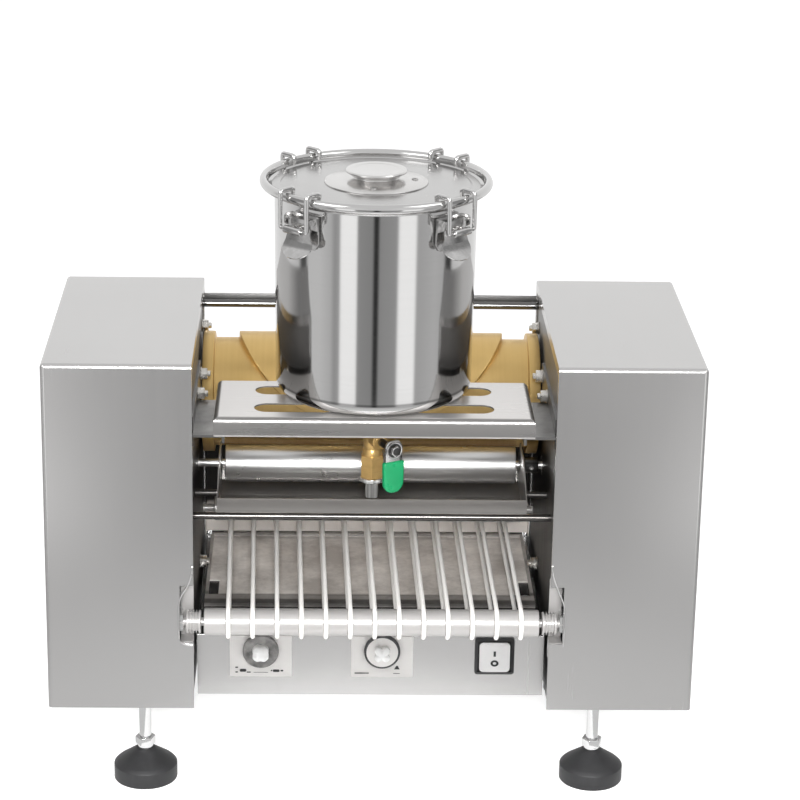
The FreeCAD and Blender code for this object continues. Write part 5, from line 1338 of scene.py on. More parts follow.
@dataclass
class Rollers(Assembly):
    """The applicator roller, the two string rollers and the thirteen strings."""

    applicator: Pair = (25.4315, 282.4315)
    front: Pair = (-137.0, 181.0)
    rear: Pair = (120.0, 197.0)
    roller_radius: float = 18.7
    roller_half: float = 145.0
    roller_shaft: Pair = (-182.8, 208.0)
    shaft_radius: float = 4.0
    collar_radius: float = 8.0
    collar_span: Pair = (154.0, 168.0)
    hub_radius: float = 11.2
    hub_groove: float = 9.0
    hub_span: Pair = (163.0, 177.0)
    hub_rings: tuple[float, ...] = (166.0, 168.6, 171.2, 173.8)
    barrel_radius: float = 13.0
    barrel_half: float = 160.0
    string_radius: float = 2.2
    string_sink: float = 0.9
    spacing: float = 23.3
    skew: float = 1.2
    count: int = 13

    def build(self) -> None:
        """Makes the three rollers, the set screw and the strings."""
        lay = Axis.X.turn()
        self.piece(
            "batter_roller", moved(self.batter_roller(), at(0, *self.applicator) @ lay),
            Look.ROLLER, "polished", ["applicator_roller"], "applicator")
        bore, (low, high) = self.shaft_radius + 0.03, self.collar_span
        ring = [(bore, low), (self.collar_radius, low), (self.collar_radius, high), (bore, high)]
        collar = turned(ring, {1: 0.6, 2: 0.6}, 3, 64, closed=True)
        self.piece(
            "shaft_collar", moved(collar, at(0, *self.applicator) @ lay), Look.COLLAR, "steel",
            body="applicator")
        top = self.collar_radius + 1.6
        screw = lathe(
            [(0, top - 0.9), (1.1, top - 0.9), (1.2, top), (2.0, top), (2.0, 0), (0, 0)], 24)
        self.piece(
            "collar_screw", moved(screw, at((low + high) / 2, *self.applicator) @ STAND),
            Look.STEEL, "steel", body="applicator")
        shift = self.shift()
        self.piece(
            "front_string_barrel", moved(self.barrel(shift, 184), at(0, *self.front) @ lay),
            Look.BARREL, "polished", ["string_roller_front"], "front_string_roller")
        self.piece(
            "string_hubs", moved(self.hubs(), at(0, *self.front) @ lay), Look.BARREL, "polished",
            body="front_string_roller")
        self.piece(
            "rear_string_barrel", moved(self.barrel(-shift, 193), at(0, *self.rear) @ lay),
            Look.BARREL, "polished", ["string_roller_rear"], "rear_string_roller")
        self.piece(
            "conveyor_cords", together(self.loop(k - self.count // 2) for k in range(self.count)),
            Look.CORD, "string", ["conveyor_strings"])

    def shift(self) -> float:
        """Returns how far the skewed strings move sideways at either roller."""
        return (self.rear[0] - self.front[0]) / 2 * math.sin(math.radians(self.skew))

    def batter_roller(self) -> BMesh:
        """Makes the applicator roller with its shaft.

        Returns:
            The shape in metres.
        """
        left, right = self.roller_shaft
        pin, half, radius = self.shaft_radius, self.roller_half, self.roller_radius
        return turned(
            [
                (0, left), (pin, left), (pin, -half), (radius, -half), (radius, half), (pin, half),
                (pin, right), (0, right)],
            {1: 0.5, 3: 0.9, 4: 0.9, 6: 0.5}, 3)

    def hubs(self) -> BMesh:
        """Makes the two grooved hubs of the front string roller.

        Returns:
            The shape in metres.
        """
        bore, (low, high) = self.shaft_radius + 0.03, self.hub_span
        outer, groove = self.hub_radius, self.hub_groove
        line = [(bore, low), (outer - 0.6, low), (outer, low + 0.6)]
        for ring in self.hub_rings:
            line += [
                (outer, ring - 0.9), (groove, ring - 0.7), (groove, ring + 0.7), (outer, ring + 0.9)
            ]
        line += [(outer, high - 0.6), (outer - 0.6, high), (bore, high)]
        return together([
            lathe(line, 72, closed=True), lathe([(a, -b) for a, b in line], 72, closed=True)])

    def barrel(self, shift: float, shaft: float) -> BMesh:
        """Makes a string roller along Z.

        Args:
            shift: how far the grooves are moved along it.
            shaft: how far the shaft reaches on the right.

        Returns:
            The roller in metres.
        """
        r, half = self.barrel_radius, self.barrel_half
        groove = (
            (-2.65, 0.0), (-1.9, 0.55), (-1.0, 0.84), (0.0, 0.9), (1.0, 0.84), (1.9, 0.55),
            (2.65, 0.0))
        line = [(0.0, -184.0), (3.6, -184.0), (4.0, -183.5)]
        end = [(4.0, half), (r - 0.8, half), (r, half - 0.8)]
        line += [(a, -b) for a, b in end]
        for k in range(self.count):
            middle = self.spacing * (k - self.count // 2) + shift
            line += [(r - cut, middle + along) for along, cut in groove]
        line += list(reversed(end)) + [(4.0, shaft - 0.5), (3.6, shaft), (0.0, shaft)]
        return lathe(line, 72)

    def loop(self, index: int) -> BMesh:
        """Makes one string, as a smooth loop over both rollers.

        Args:
            index: its place among the strings, counted from the middle.

        Returns:
            The shape in metres.
        """
        rise, run = self.rear[1] - self.front[1], self.rear[0] - self.front[0]
        half = math.hypot(rise, run) / 2
        radius = self.barrel_radius + self.string_radius - self.string_sink
        points: list[Point] = []
        for side in (1, -1):
            for k in range(13):
                a = math.radians(-90 + 15 * k) if side > 0 else math.radians(90 + 15 * k)
                points.append((0.0, side * half + radius * math.cos(a), radius * math.sin(a)))
            for share in (0.98, 0.5, -0.5, -0.98):
                points.append((0.0, side * half * share, side * radius))
        place = at(
            self.spacing * index, (self.front[0] + self.rear[0]) / 2,
            (self.front[1] + self.rear[1]) / 2)
        slope = math.degrees(math.atan2(rise, run))
        return moved(
            wire(points, self.string_radius, closed=True, sides=4),
            place @ spun(self.skew) @ spun(slope, Axis.X))


@dataclass
class Back(Assembly):
    """The strip behind the drum and the splash sheet under it, whose upper part is painted near
    black: painted shade behind the drum.
    """

    half: float = 170.0
    strip: tuple[float, float, float, float] = (137.0, 139.0, 415.0, 425.5)
    sheet: tuple[float, float, float, float] = (139.5, 140.7, 163.5, 288.0)
    flange_wall: float = 1.2
    flange_depth: float = 12.2
    flange_top: float = 269.0
    leg_inner: float = 165.2
    leg_foot: float = 159.2
    side_inner: float = 168.3
    side_foot: float = 98.0
    pull_half: float = 163.8
    pull_depth: Point = (135.9, 141.4, 142.6)
    pull_height: Pair = (159.6, 168.0)
    tongue_height: Pair = (161.8, 163.0)

    def build(self) -> None:
        """Makes the strip, the splash sheet with its flanges and legs, and the tray's pull."""
        near, far, low, high = self.strip
        strip = block((-self.half, near, low), (self.half, far, high), 0.3)
        self.piece("tie_strip", strip, Look.PLATE, "stainless", ["rear_tie_strip"])
        near, far, low, high = self.sheet
        middle = (near + far) / 2
        front = [block((-self.half, near, low), (self.half, middle - 0.02, high), 0.2)]
        front += both_sides((self.half - self.flange_wall, far - self.flange_depth, low),
                            (self.half, middle, self.flange_top), 0.3)
        self.piece("splash_front", together(front), Look.SPLASH, "stainless")
        sheets = [block((-self.half, middle, low), (self.half, far, high), 0.2)]
        sheets += both_sides((self.leg_inner, near, self.leg_foot), (self.half, far, low), 0.1)
        sheets += both_sides(
            (self.side_inner, near, self.side_foot), (self.half, far, self.leg_foot), 0.1)
        self.piece("splash_sheet", together(sheets), Look.HOUSING, "stainless")
        self.piece("pan_pull", self.pull(), Look.TROUGH, "stainless", body="pan")

    def pull(self) -> BMesh:
        """Makes the tray's pull: its face behind the splash sheet and the tongue below that.

        Returns:
            The shape in metres.
        """
        start, face, back = self.pull_depth
        lip = block(
            (-self.pull_half, face, self.pull_height[0]),
            (self.pull_half, back, self.pull_height[1]), 0.4)
        tongue = block(
            (-self.pull_half, start, self.tongue_height[0]),
            (self.pull_half, face + 0.2, self.tongue_height[1]), 0.2)
        return together([lip, tongue])


@dataclass
class Notches(Assembly):
    """The light sheets behind the roller ends in the housings' notches, with their rolled edges."""

    near: float = 170.6
    far: float = 182.8
    depth: float = -124.6
    wall: float = 0.8
    low: float = 140.0
    high: float = 222.0
    face: float = -144.3
    bead: float = 0.8
    sill: float = -142.6
    sill_wall: float = 1.4
    sill_top: float = 162.3
    left_edge: tuple[Pair, ...] = (
        (-170.6, 240), (-172.4, 224), (-183.4, 208), (-184.6, 190), (-184.4, 172), (-183.4, 160),
        (-171.0, 159))
    right_edge: tuple[Pair, ...] = (
        (184.0, 160), (185.0, 178), (184.6, 200), (179.0, 214), (171.0, 234), (170.8, 243),
    )

    def build(self) -> None:
        """Makes the sheets and the rolled edges."""
        sheets = both_sides(
            (self.near, self.depth, self.low), (self.far, self.depth + self.wall, self.high), 0.2)
        sheets += both_sides(
            (self.near, self.sill, self.sill_top - self.sill_wall),
            (self.far, self.depth, self.sill_top), 0.2)
        self.piece("notch_sheets", together(sheets), Look.BARREL, "stainless")
        edges = [
            wire([(x, self.face, z) for x, z in line], self.bead)
            for line in (self.left_edge, self.right_edge)]
        self.piece("notch_edges", together(edges), Look.WIRE, "stainless")


@dataclass
class Valve(Assembly):
    """The brass ball valve with its handle and the outlet nozzle."""

    depth: float = -51.0
    turn: float = 28.0
    stem: float = 339.0
    reach: float = 40.0
    bore: float = 5.5
    barrel_radius: float = 12.2
    barrel_span: Pair = (298.0, 321.0)
    spout_bore: float = 4.0
    spout_radius: float = 6.4
    spout_span: Pair = (277.0, 297.9)
    washer: float = 42.45
    blade_middle: float = 323.75
    sleeve_middle: float = 311.6

    def build(self) -> None:
        """Makes the body, the nozzle and the pieces of the handle."""
        place = at(0, self.depth, 0)
        turned = place @ spun(self.turn)
        self.piece(
            "valve_casting", moved(self.casting(), place), Look.BRASS, "brass", ["valve_body"])
        self.piece("spout", moved(self.spout(), place), Look.SPOUT, "polished", ["outlet_nozzle"])
        for name, bm, look, slot, nodes in (
            ("valve_spindle", self.spindle(), Look.COLLAR, "steel", ["valve_stem"]),
            ("spindle_nut", self.nut(), Look.NUT, "steel", []),
            ("handle_blade", self.blade(), Look.ZINC, "steel", ["valve_handle"]),
            ("handle_grip", self.grip(), Look.VINYL, "green_vinyl", ["handle_sleeve"]),
        ):
            self.piece(name, moved(bm, turned), look, slot, nodes, "valve_lever")

    def casting(self) -> BMesh:
        """Makes the hexagonal barrel, the neck, the boss and the lock nut.

        Returns:
            The shape in metres.
        """
        bore, outer, (low, high) = self.bore, self.barrel_radius, self.barrel_span
        barrel = lathe(
            [
                (bore, low), (outer - 1.2, low), (outer, low + 1.4), (outer, high - 1.4),
                (outer - 1.2, high), (bore, high)],
            6, closed=True)
        neck = turned(
            [
                (bore, high - 1), (9.6, 320), (9.6, 326), (8.6, 328), (9.0, 331), (9.0, 347),
                (8.6, 350), (9.6, 352), (9.6, 357), (8.8, 358), (8.8, 396), (bore, 396)],
            {1: 0.4, 4: 2.0, 5: 2.0, 10: 0.5}, 3, 72, closed=True)
        boss = turned(
            [(0, 5.5), (8, 5.5), (8, 15), (7, 16), (7, 18), (0, 18)], {2: 0.5, 4: 0.5}, 3, 48)
        nut = hexagon(28, 11.5, 1.0)
        return together([
            moved(barrel, spun(30)), neck,
            moved(boss, at(0, 0, self.stem) @ spun(self.turn) @ STAND),
            moved(nut, at(0, 0, 377) @ spun(30))])

    def spout(self) -> BMesh:
        """Makes the nozzle with its ring.

        Returns:
            The shape in metres.
        """
        inner, outer, (low, high) = self.spout_bore, self.spout_radius, self.spout_span
        return turned(
            [
                (inner, low), (outer, low), (outer, high - 3.9), (outer + 5.5, high - 3.9),
                (outer + 5.5, high), (inner, high)],
            {1: 0.6, 2: 0.8, 3: 0.7, 4: 0.5}, 4, 64, closed=True)

    def spindle(self) -> BMesh:
        """Makes the ball, the stem and the dark washer of its nut, whose dark ring round the nut is
        also painted shade.

        Returns:
            The shape in metres.
        """
        ball = bmesh.new()
        bmesh.ops.create_uvsphere(ball, u_segments=32, v_segments=20, radius=7.5 * MM)
        rod = turned([(0, 5), (4, 5), (4, 48.4), (0, 48.4)], {2: 0.8}, 3, 40)
        low, high = self.washer, self.washer + 0.35
        seat = lathe([(4, low), (7.4, low), (7.4, high), (4, high)], 40, closed=True)
        return together([moved(part, at(0, 0, self.stem) @ STAND) for part in (ball, rod, seat)])

    def nut(self) -> BMesh:
        """Makes the nut on the stem with the raised lip of its washer.

        Returns:
            The shape in metres.
        """
        low = self.washer
        head = moved(hexagon(11.2, 5.0, 0.9), at(0, 0, low + 0.3) @ spun(15))
        lip = turned(
            [(7.0, low), (8.7, low), (8.7, low + 1.9), (7.0, low + 1.5)], {1: 0.2, 2: 0.7, 3: 0.5},
            3, 48, closed=True)
        return together([moved(part, at(0, 0, self.stem) @ STAND) for part in (head, lip)])

    def blade(self) -> BMesh:
        """Returns the flat handle behind the nut."""
        outline = [(x, z + self.blade_middle) for x, z in round_box(18, 49.5, 6.5, 8)]
        return moved(plate(outline, 2.5, 0.5), at(0, -self.reach, 0) @ STAND)

    def grip(self) -> BMesh:
        """Makes the dipped sleeve with its rounded end.

        Returns:
            The shape in metres.
        """
        outline = [
            (x * (1 + 0.006 * z), z + self.sleeve_middle) for x,
            z in round_box(22.4, 32, 10.0, 10) if z < 0]
        outline = [
            (x, z + self.sleeve_middle) for x, z in round_box(22.4, 32, 2.6, 4) if z > 0] + outline
        return moved(plate(outline, 6, 2.0, 4), at(0, -self.reach + 1.75, 0) @ STAND)


@dataclass
class ControlFront(Assembly):
    """The label plates, the dials and the rocker switch on the box's front."""

    front: float = -116.0
    label_face: float = 0.9
    ink: float = 0.16
    label_height: float = 135.8
    label_size: Pair = (60.0, 43.0)
    left: float = -106.5
    right: float = 11.0
    dial_height: float = 142.3
    left_hollow: float = 0.16
    right_hollow: float = 0.34
    skirt_radius: float = 17.5
    grip_radius: float = 8.7
    rib_start: float = 16.5
    rib_depth: float = 0.02
    rib_step: float = 2.5
    switch: float = 120.2
    switch_height: float = 137.4
    switch_size: float = 38.5
    rocker_size: float = 29.8

    def build(self) -> None:
        """Makes the plates with their marks, the dials and the switch."""
        plates = [self.label(x) for x in (self.left, self.right)]
        self.piece("label_pair", together(plates), Look.LABEL, "white_label", ["label_plates"])
        self.marks()
        dials = (
            ("left", self.left, Look.DIAL, self.left_hollow),
            ("right", self.right, Look.BLACK, self.right_hollow),
        )
        for side, x, look, hollow in dials:
            place = at(x, self.front - 1.3, self.dial_height) @ STAND
            body = side + "_dial"
            rim = moved(self.skirt(knurled=side == "left"), place)
            self.piece("skirt_" + side, rim, look, "dial", ["dial_" + side], body)
            if side == "right":
                face = turned([(0, 3.2), (15.4, 3.2), (15.4, 4.3), (0, 4.3)], {2: 0.4}, 2, 64)
                self.piece("dial_face", moved(face, place), Look.LABEL, "dial", body=body)
            self.piece(
                "grip_" + side, moved(self.knob(hollow), place), Look.WHITE, "white_label",
                body=body)
        self.rocker_switch()

    def marks(self) -> None:
        """Prints the bold and the faint dashes and the arrow on the labels."""
        left, right = self.left, self.right
        bold = [
            (left - 17.2, 120.8, 6.4, 3.0), (left - 11.7, 118.9, 3.9, 1.2),
            (left - 23.3, 124.0, 2.8, 1.2), (left - 23.4, 119.0, 2.5, 1.2),
            (left + 14.9, 120.5, 6.6, 2.7), (left + 20.5, 120.6, 2.7, 1.6),
            (left + 10.4, 120.7, 1.6, 1.5)]
        faint = [
            (left, 118.7, 14.0, 0.5), (right - 19.5, 118.4, 14.0, 1.5),
            (right + 14.3, 118.2, 6.5, 0.6)]
        arrow = [
            (right + 11.9, 122.6), (right + 17.3, 122.6), (right + 15.4, 126.4),
            (right + 14.0, 126.4)]
        bold_marks = [self.dash(*spot) for spot in bold] + [self.printed(arrow)]
        self.piece("dial_marks", together(bold_marks), Look.BLACK, "black_plastic")
        self.piece(
            "faint_marks", together(self.dash(*spot) for spot in faint), Look.DIAL, "black_plastic")

    def printed(self, outline: Outline) -> BMesh:
        """Returns a thin print of the outline on the labels' face."""
        return moved(plate(outline, self.ink, 0), at(0, self.front - self.label_face, 0) @ STAND)

    def dash(self, x: float, z: float, width: float, height: float) -> BMesh:
        """Returns one printed dash with rounded ends, centred on a place of the label."""
        return self.printed([(x + u, z + v) for u, v in round_box(width, height, height * 0.45, 4)])

    def label(self, x: float) -> BMesh:
        """Makes one label plate with its raised border.

        Args:
            x: its middle along X, in millimetres.

        Returns:
            The shape in metres.
        """
        bm = plate(round_box(*self.label_size, 1.6, 4), 1.0, 0)
        front = [f for f in bm.faces if f.normal.z > 0.9]
        bmesh.ops.inset_region(bm, faces=front, thickness=1.3 * MM, depth=0.0)
        bmesh.ops.translate(
            bm, vec=(0, 0, -0.2 * MM), verts=list({v for f in front for v in f.verts}))
        return moved(bm, at(x, self.front, self.label_height) @ STAND)

    def skirt(self, knurled: bool) -> BMesh:
        """Makes a dial's skirt with its spindle, and fine ribs where knurled.

        Args:
            knurled: whether its side has fine ribs.

        Returns:
            The shape in metres.
        """
        r = self.skirt_radius
        line = [(0, -15.3), (3, -15.3), (3, 0), (r, 0), (r, 3.2), (r - 1.1, 4), (0, 4)]
        bm = turned(line, {4: 0.4, 5: 0.4}, 2, 144)
        if knurled:
            for vert in bm.verts:
                reach = math.hypot(vert.co.x, vert.co.y)
                if reach > self.rib_start * MM:
                    turn = math.degrees(math.atan2(vert.co.y, vert.co.x))
                    pull = 1.0 - self.rib_depth * (round(turn / self.rib_step) % 2)
                    vert.co.x, vert.co.y = vert.co.x * pull, vert.co.y * pull
        return bm

    def knob(self, cut: float) -> BMesh:
        """Makes a grip with four lobes, set crosswise.

        Args:
            cut: how deep the hollows between the lobes are, as a share.

        Returns:
            The grip in metres, standing on Z = 4.
        """
        outline = []
        for k in range(64):
            turn = math.tau * k / 64
            reach = self.grip_radius * (1 - cut * math.cos(2 * turn) ** 4)
            outline.append((reach * math.cos(turn), reach * math.sin(turn)))
        bm = plate(outline, 6.0, 0)
        top = [f for f in bm.faces if f.normal.z > 0.9]
        bmesh.ops.inset_region(bm, faces=top, thickness=1.0 * MM, depth=0.0)
        bmesh.ops.translate(bm, vec=(0, 0, 1.2 * MM), verts=list({v for f in top for v in f.verts}))
        bmesh.ops.poke(bm, faces=top, offset=3.6 * MM)
        return moved(bm, at(0, 0, 4.0))

    def cap(self) -> BMesh:
        """Makes the rocker, with round corners and a bent front.

        Returns:
            The shape in metres.
        """
        deep, back, waist = 12.0, -5.5, 0.8
        rise, bend, lean, ease = 3.75, 0.0839, 0.1007, 2.0
        cap = plate(round_box(self.rocker_size, self.rocker_size, 4.0, 6), deep, 0.6)
        for y in (-10.0, -6.0, -3.0, -1.5, 0.0, 1.5, 3.0, 6.0, 10.0):
            geom = cap.verts[:] + cap.edges[:] + cap.faces[:]
            bmesh.ops.bisect_plane(cap, geom=geom, plane_co=(0, y * MM, 0), plane_no=(0, 1, 0))
        for vert in cap.verts:
            y = vert.co.y / MM
            if vert.co.z > deep / 2 * MM:
                front = rise + bend * (math.hypot(y, ease) - ease) - lean * y
                vert.co.z += (front - deep) * MM
            else:
                vert.co = (vert.co.x * waist, vert.co.y * waist, vert.co.z + back * MM)
        return cap

    def rocker_switch(self) -> None:
        """Makes the switch's frame, its rocker and the two marks on it."""
        place = at(self.switch, self.front, self.switch_height) @ STAND
        frame = plate(round_box(self.switch_size, self.switch_size, 3.0, 5), 2.5, 0)
        soften(frame, {e for f in frame.faces if f.normal.z > 0.9 for e in f.edges}, 0.7, 2)
        front = [f for f in frame.faces if f.normal.z > 0.9]
        bmesh.ops.inset_region(frame, faces=front, thickness=2.8 * MM, depth=0.0)
        grown = bmesh.ops.extrude_face_region(frame, geom=front)
        bmesh.ops.translate(
            frame, vec=(0, 0, -13 * MM),
            verts=[v for v in grown["geom"] if isinstance(v, bmesh.types.BMVert)])
        bmesh.ops.delete(frame, geom=front, context="FACES_ONLY")
        box = block((-16.7, -16.7, -26), (16.7, 16.7, -10.7), 0.5)
        self.piece(
            "switch_bezel", moved(together([frame, box]), place), Look.BLACK, "black_plastic",
            ["switch_frame"])
        self.piece(
            "rocker_cap", moved(self.cap(), place), Look.ROCKER, "grey_plastic", ["switch_rocker"],
            "rocker")
        bar = moved(block((-1.1, -2.7, 0), (1.1, 2.7, 0.25), 0), at(0, 3.2, 3.62))
        ring = moved(
            lathe([(1.7, 0), (3.9, 0), (3.9, 0.25), (1.7, 0.25)], 32, closed=True),
            at(0, -6.2, 4.82) @ spun(-10.45, Axis.X) @ Matrix.Diagonal((1.0, 0.8, 1.0, 1.0)))
        self.piece(
            "rocker_marks", moved(together([bar, ring]), place), Look.BLACK, "black_plastic",
            body="rocker")


@dataclass
class Feet(Assembly):
    """The four levelling feet."""

    across: float = 220.0
    along: float = 103.0
    rod_radius: float = 6.0
    rod_span: Pair = (32.5, 133.0)
    pad_radius: float = 31.0
    pad_height: float = 32.4

    def build(self) -> None:
        """Makes the stems with their nuts, and the rubber pads."""
        spots = [at(sx * self.across, sy * self.along, 0) for sx in (-1, 1) for sy in (-1, 1)]
        self.piece(
            "foot_rods", together(moved(self.stem(), p) for p in spots), Look.FOOT_ROD, "polished",
            ["foot_stems"], "feet")
        self.piece(
            "foot_rubbers", together(moved(self.pad(), p) for p in spots), Look.RUBBER,
            "black_rubber", ["foot_pads"], "feet")

    def stem(self) -> BMesh:
        """Makes one rod with its two-tier nut.

        Returns:
            The shape in metres.
        """
        r, (low, high) = self.rod_radius, self.rod_span
        rod = turned([(0, low), (r, low), (r, high), (0, high)], {2: 0.8}, 3, 64)
        ring = [(r - 0.1, low), (r + 1.6, low), (r + 1.6, low + 3.7), (r - 0.1, low + 3.7)]
        collar = turned(ring, {1: 0.4, 2: 0.4}, 3, 64, closed=True)
        return together([rod, collar, moved(hexagon(20.4, 8.0, 0.9), at(0, 0, 36.0) @ spun(8))])

    def pad(self) -> BMesh:
        """Makes one rubber pad.

        Returns:
            The shape in metres.
        """
        r, top = self.pad_radius, self.pad_height
        return turned(
            [(0, 0), (r, 0), (r, 15.5), (r - 3, 18.5), (11.5, top - 2.4), (9, top), (0, top)],
            {1: 1.2, 2: 1.6, 3: 3.0, 4: 1.5, 5: 0.8}, 4, 96)


@dataclass
class Fasteners(Assembly):
    """The bolts in the inner plates and the gland of the supply cable."""

    bolt_face: float = 171.8
    bracket_face: float = 169.3
    washer_radius: float = 6.6
    bolt_radius: float = 3.0
    gland: Point = (120.0, 0.0, 127.0)

    def build(self) -> None:
        """Makes the bolts and the gland."""
        spots = ((self.bracket_face, -37.0, 377.0), (self.bracket_face, 24.0, 377.0),
                 (self.bolt_face, 118.0, 397.0), (self.bolt_face, 36.0, 172.0))
        bolts = []
        for k, (x, y, z) in enumerate(spots):
            for side in (-1, 1):
                lay = Axis.X.turn() if side < 0 else spun(180) @ Axis.X.turn()
                bolts.append(moved(
                    self.bolt(self.bolt_face + 3 - x), at(side * x, y, z) @ lay @ spun(17 * k)))
        self.piece("plate_bolts", together(bolts), Look.BOLT, "steel", ["side_bolts"])
        foot = lathe([(3, 140), (9, 140), (9, 146.5), (3, 146.5)], 6, closed=True)
        dome = turned(
            [
                (3, 132), (6, 132), (6, 141), (8.2, 146), (8.2, 151), (6.6, 156.5), (6.0, 160.5),
                (3, 160.5)],
            {1: 0.4, 3: 0.6, 4: 2.0, 5: 1.5, 6: 1.0}, 4, 48, closed=True)
        back = Axis.Y.turn()
        self.piece(
            "gland_body", together([moved(part, at(*self.gland) @ back) for part in (foot, dome)]),
            Look.BLACK, "black_plastic", ["cable_gland"])

    def bolt(self, shank: float) -> BMesh:
        """Makes a bolt along Z whose washer lies on Z = 0.

        Args:
            shank: how far the shank reaches below the washer, in millimetres.

        Returns:
            The shape in metres.
        """
        wide, thin = self.washer_radius, self.bolt_radius
        washer = turned([(0, 0), (wide, 0), (wide, 1.2), (0, 1.2)], {1: 0.3, 2: 0.3}, 2, 40)
        tip = turned([(0, -shank), (thin, -shank), (thin, 10), (0, 10)], {1: 0.4, 2: 0.9}, 3, 32)
        return together([washer, moved(hexagon(12.2, 6.0, 0.9), at(0, 0, 1.0)), tip])


# --------------------------------------------------------------------------
# Studio
# --------------------------------------------------------------------------


@dataclass(frozen=True)
class Studio:
    """The floor, the light, the reflection cards and the camera."""

    place: Point = (-0.05217, -2.51841, 1.23272)
    yaw: float = 0.0316525
    pitch: float = 0.3337420
    roll: float = 0.0183717
    focal: float = 121.957
    sensor: float = 36.0
    floor_size: float = 14.0
    floor_colour: Colour = (0.86, 0.86, 0.86)
    floor_glow: Pair = (0.52, 0.30)
    ring_centre: float = -0.05
    ring_inner: float = 0.30
    card_gain: float = 1.35
    world_strength: float = 0.55
    card_radius: float = 4.0
    wall_height: float = 4.4
    wall_middle: float = 1.2
    ring_height: float = 3.0
    lamp_aim: Point = (0.0, 0.0, 0.3)

    def build(self) -> None:
        """Builds the studio in order."""
        self.camera()
        self.floor()
        self.world()
        self.cards()
        self.lamps()
        bpy.context.scene.view_settings.view_transform = "Standard"

    def camera(self) -> None:
        """Sets the camera at the photograph's viewpoint."""
        data = bpy.data.cameras.new("camera")
        data.sensor_width = self.sensor
        data.lens = self.focal
        data.clip_start, data.clip_end = 0.05, 60.0
        forward = Vector((
            math.sin(self.yaw) * math.cos(self.pitch),
            math.cos(self.yaw) * math.cos(self.pitch),
            -math.sin(self.pitch),
        ))
        level = Vector((math.cos(self.yaw), -math.sin(self.yaw), 0.0))
        up = level.cross(forward)
        right = math.cos(self.roll) * level + math.sin(self.roll) * up
        top = -math.sin(self.roll) * level + math.cos(self.roll) * up
        turn = Matrix((right, top, -forward)).transposed().to_4x4()
        cam = bpy.data.objects.new("camera", data)
        cam.matrix_world = Matrix.Translation(self.place) @ turn
        bpy.context.scene.collection.objects.link(cam)
        bpy.context.scene.camera = cam

    def floor(self) -> None:
        """Lays the pale floor."""
        bm = bmesh.new()
        bmesh.ops.create_grid(bm, x_segments=1, y_segments=1, size=self.floor_size)
        mat = bpy.data.materials.new("floor")
        mat.use_nodes = True
        g, nodes = Graph(mat.node_tree), mat.node_tree.nodes
        shader = nodes["Principled BSDF"]
        pale = (*self.floor_colour, 1.0)
        g.feed(shader, {"Base Color": pale, "Roughness": 0.9, "Specular IOR Level": 0.1})
        seen, mirrored = self.floor_glow
        path = g.add("ShaderNodeLightPath").outputs
        pins = {0: path["Is Glossy Ray"], 1: mirrored, 2: g.times(path["Is Camera Ray"], seen)}
        strength = g.add("ShaderNodeMath", pins, operation="MULTIPLY_ADD")
        glow = g.add("ShaderNodeEmission", {"Strength": strength.outputs[0]})
        both = g.add("ShaderNodeAddShader", {0: shader.outputs[0], 1: glow.outputs[0]})
        g.feed(nodes["Material Output"], {"Surface": both.outputs[0]})
        obj = put_in("floor", bm)
        obj.data.materials.append(mat)

    def world(self) -> None:
        """Lights the room evenly; the camera and mirrors see plain white."""
        world = bpy.data.worlds.new("room")
        world.use_nodes = True
        g, nodes = Graph(world.node_tree), world.node_tree.nodes
        soft = nodes["Background"]
        g.feed(soft, {"Color": (1.0, 1.0, 1.0, 1.0), "Strength": self.world_strength})
        white = g.add("ShaderNodeBackground", {"Strength": 1.0})
        path = g.add("ShaderNodeLightPath").outputs
        direct = path["Is Camera Ray"]
        for kind in ("Is Glossy Ray", "Is Transmission Ray"):
            direct = g.add(
                "ShaderNodeMath", {0: direct, 1: path[kind]}, operation="MAXIMUM").outputs[0]
        mix = g.add("ShaderNodeMixShader", {0: direct, 1: soft.outputs[0], 2: white.outputs[0]})
        g.feed(nodes["World Output"], {"Surface": mix.outputs[0]})
        bpy.context.scene.world = world

    def cards(self) -> None:
        """Hangs the grey cards that only the mirrors see: a wall and a ring on the floor."""
        wall = bmesh.new()
        bmesh.ops.create_cone(
            wall, cap_ends=False, segments=120, radius1=self.card_radius,
            radius2=self.card_radius, depth=self.wall_height,
        )
        bmesh.ops.translate(wall, vec=(0, 0, self.wall_middle), verts=wall.verts)
        self.card(
            "card_wall", wall,
            (
                (-180, 1.0), (-120, 0.9), (-100, 0.30), (-70, 0.35), (-50, 0.75), (-25, 0.9),
                (-8, 0.80), (8, 0.80), (25, 0.9), (50, 0.75), (70, 0.35), (100, 0.30), (120, 0.9),
                (180, 1.0)),
            ())
        ring = lathe(
            [(reach / MM, self.ring_height) for reach in (self.ring_inner, self.card_radius)], 120)
        bmesh.ops.translate(ring, vec=(0, self.ring_centre, 0), verts=ring.verts)
        self.card(
            "card_floor", ring,
            (
                (-180, 0.95), (-120, 0.90), (-98, 0.70), (-92, 0.10), (-86, 0.10), (-82, 0.72),
                (-66, 0.72), (-52, 0.60), (-47, 0.40), (-42, 0.46), (-39, 1.25), (-22, 1.25),
                (-20, 0.36), (-4, 0.32), (-2, 0.03), (2, 0.03), (4, 0.36), (23, 0.40), (26, 1.25),
                (44, 1.25), (47, 0.50), (70, 0.60), (82, 0.55), (86, 0.06), (92, 0.06), (97, 0.75),
                (120, 0.90), (180, 0.95)),
            (
                (self.ring_inner, 1.0, 0.76), (0.45, 1.0, 0.76), (0.58, 1.0, 0.68),
                (0.70, 1.0, 0.52), (0.78, 1.0, 0.48), (0.92, 0.0, 0.46)))

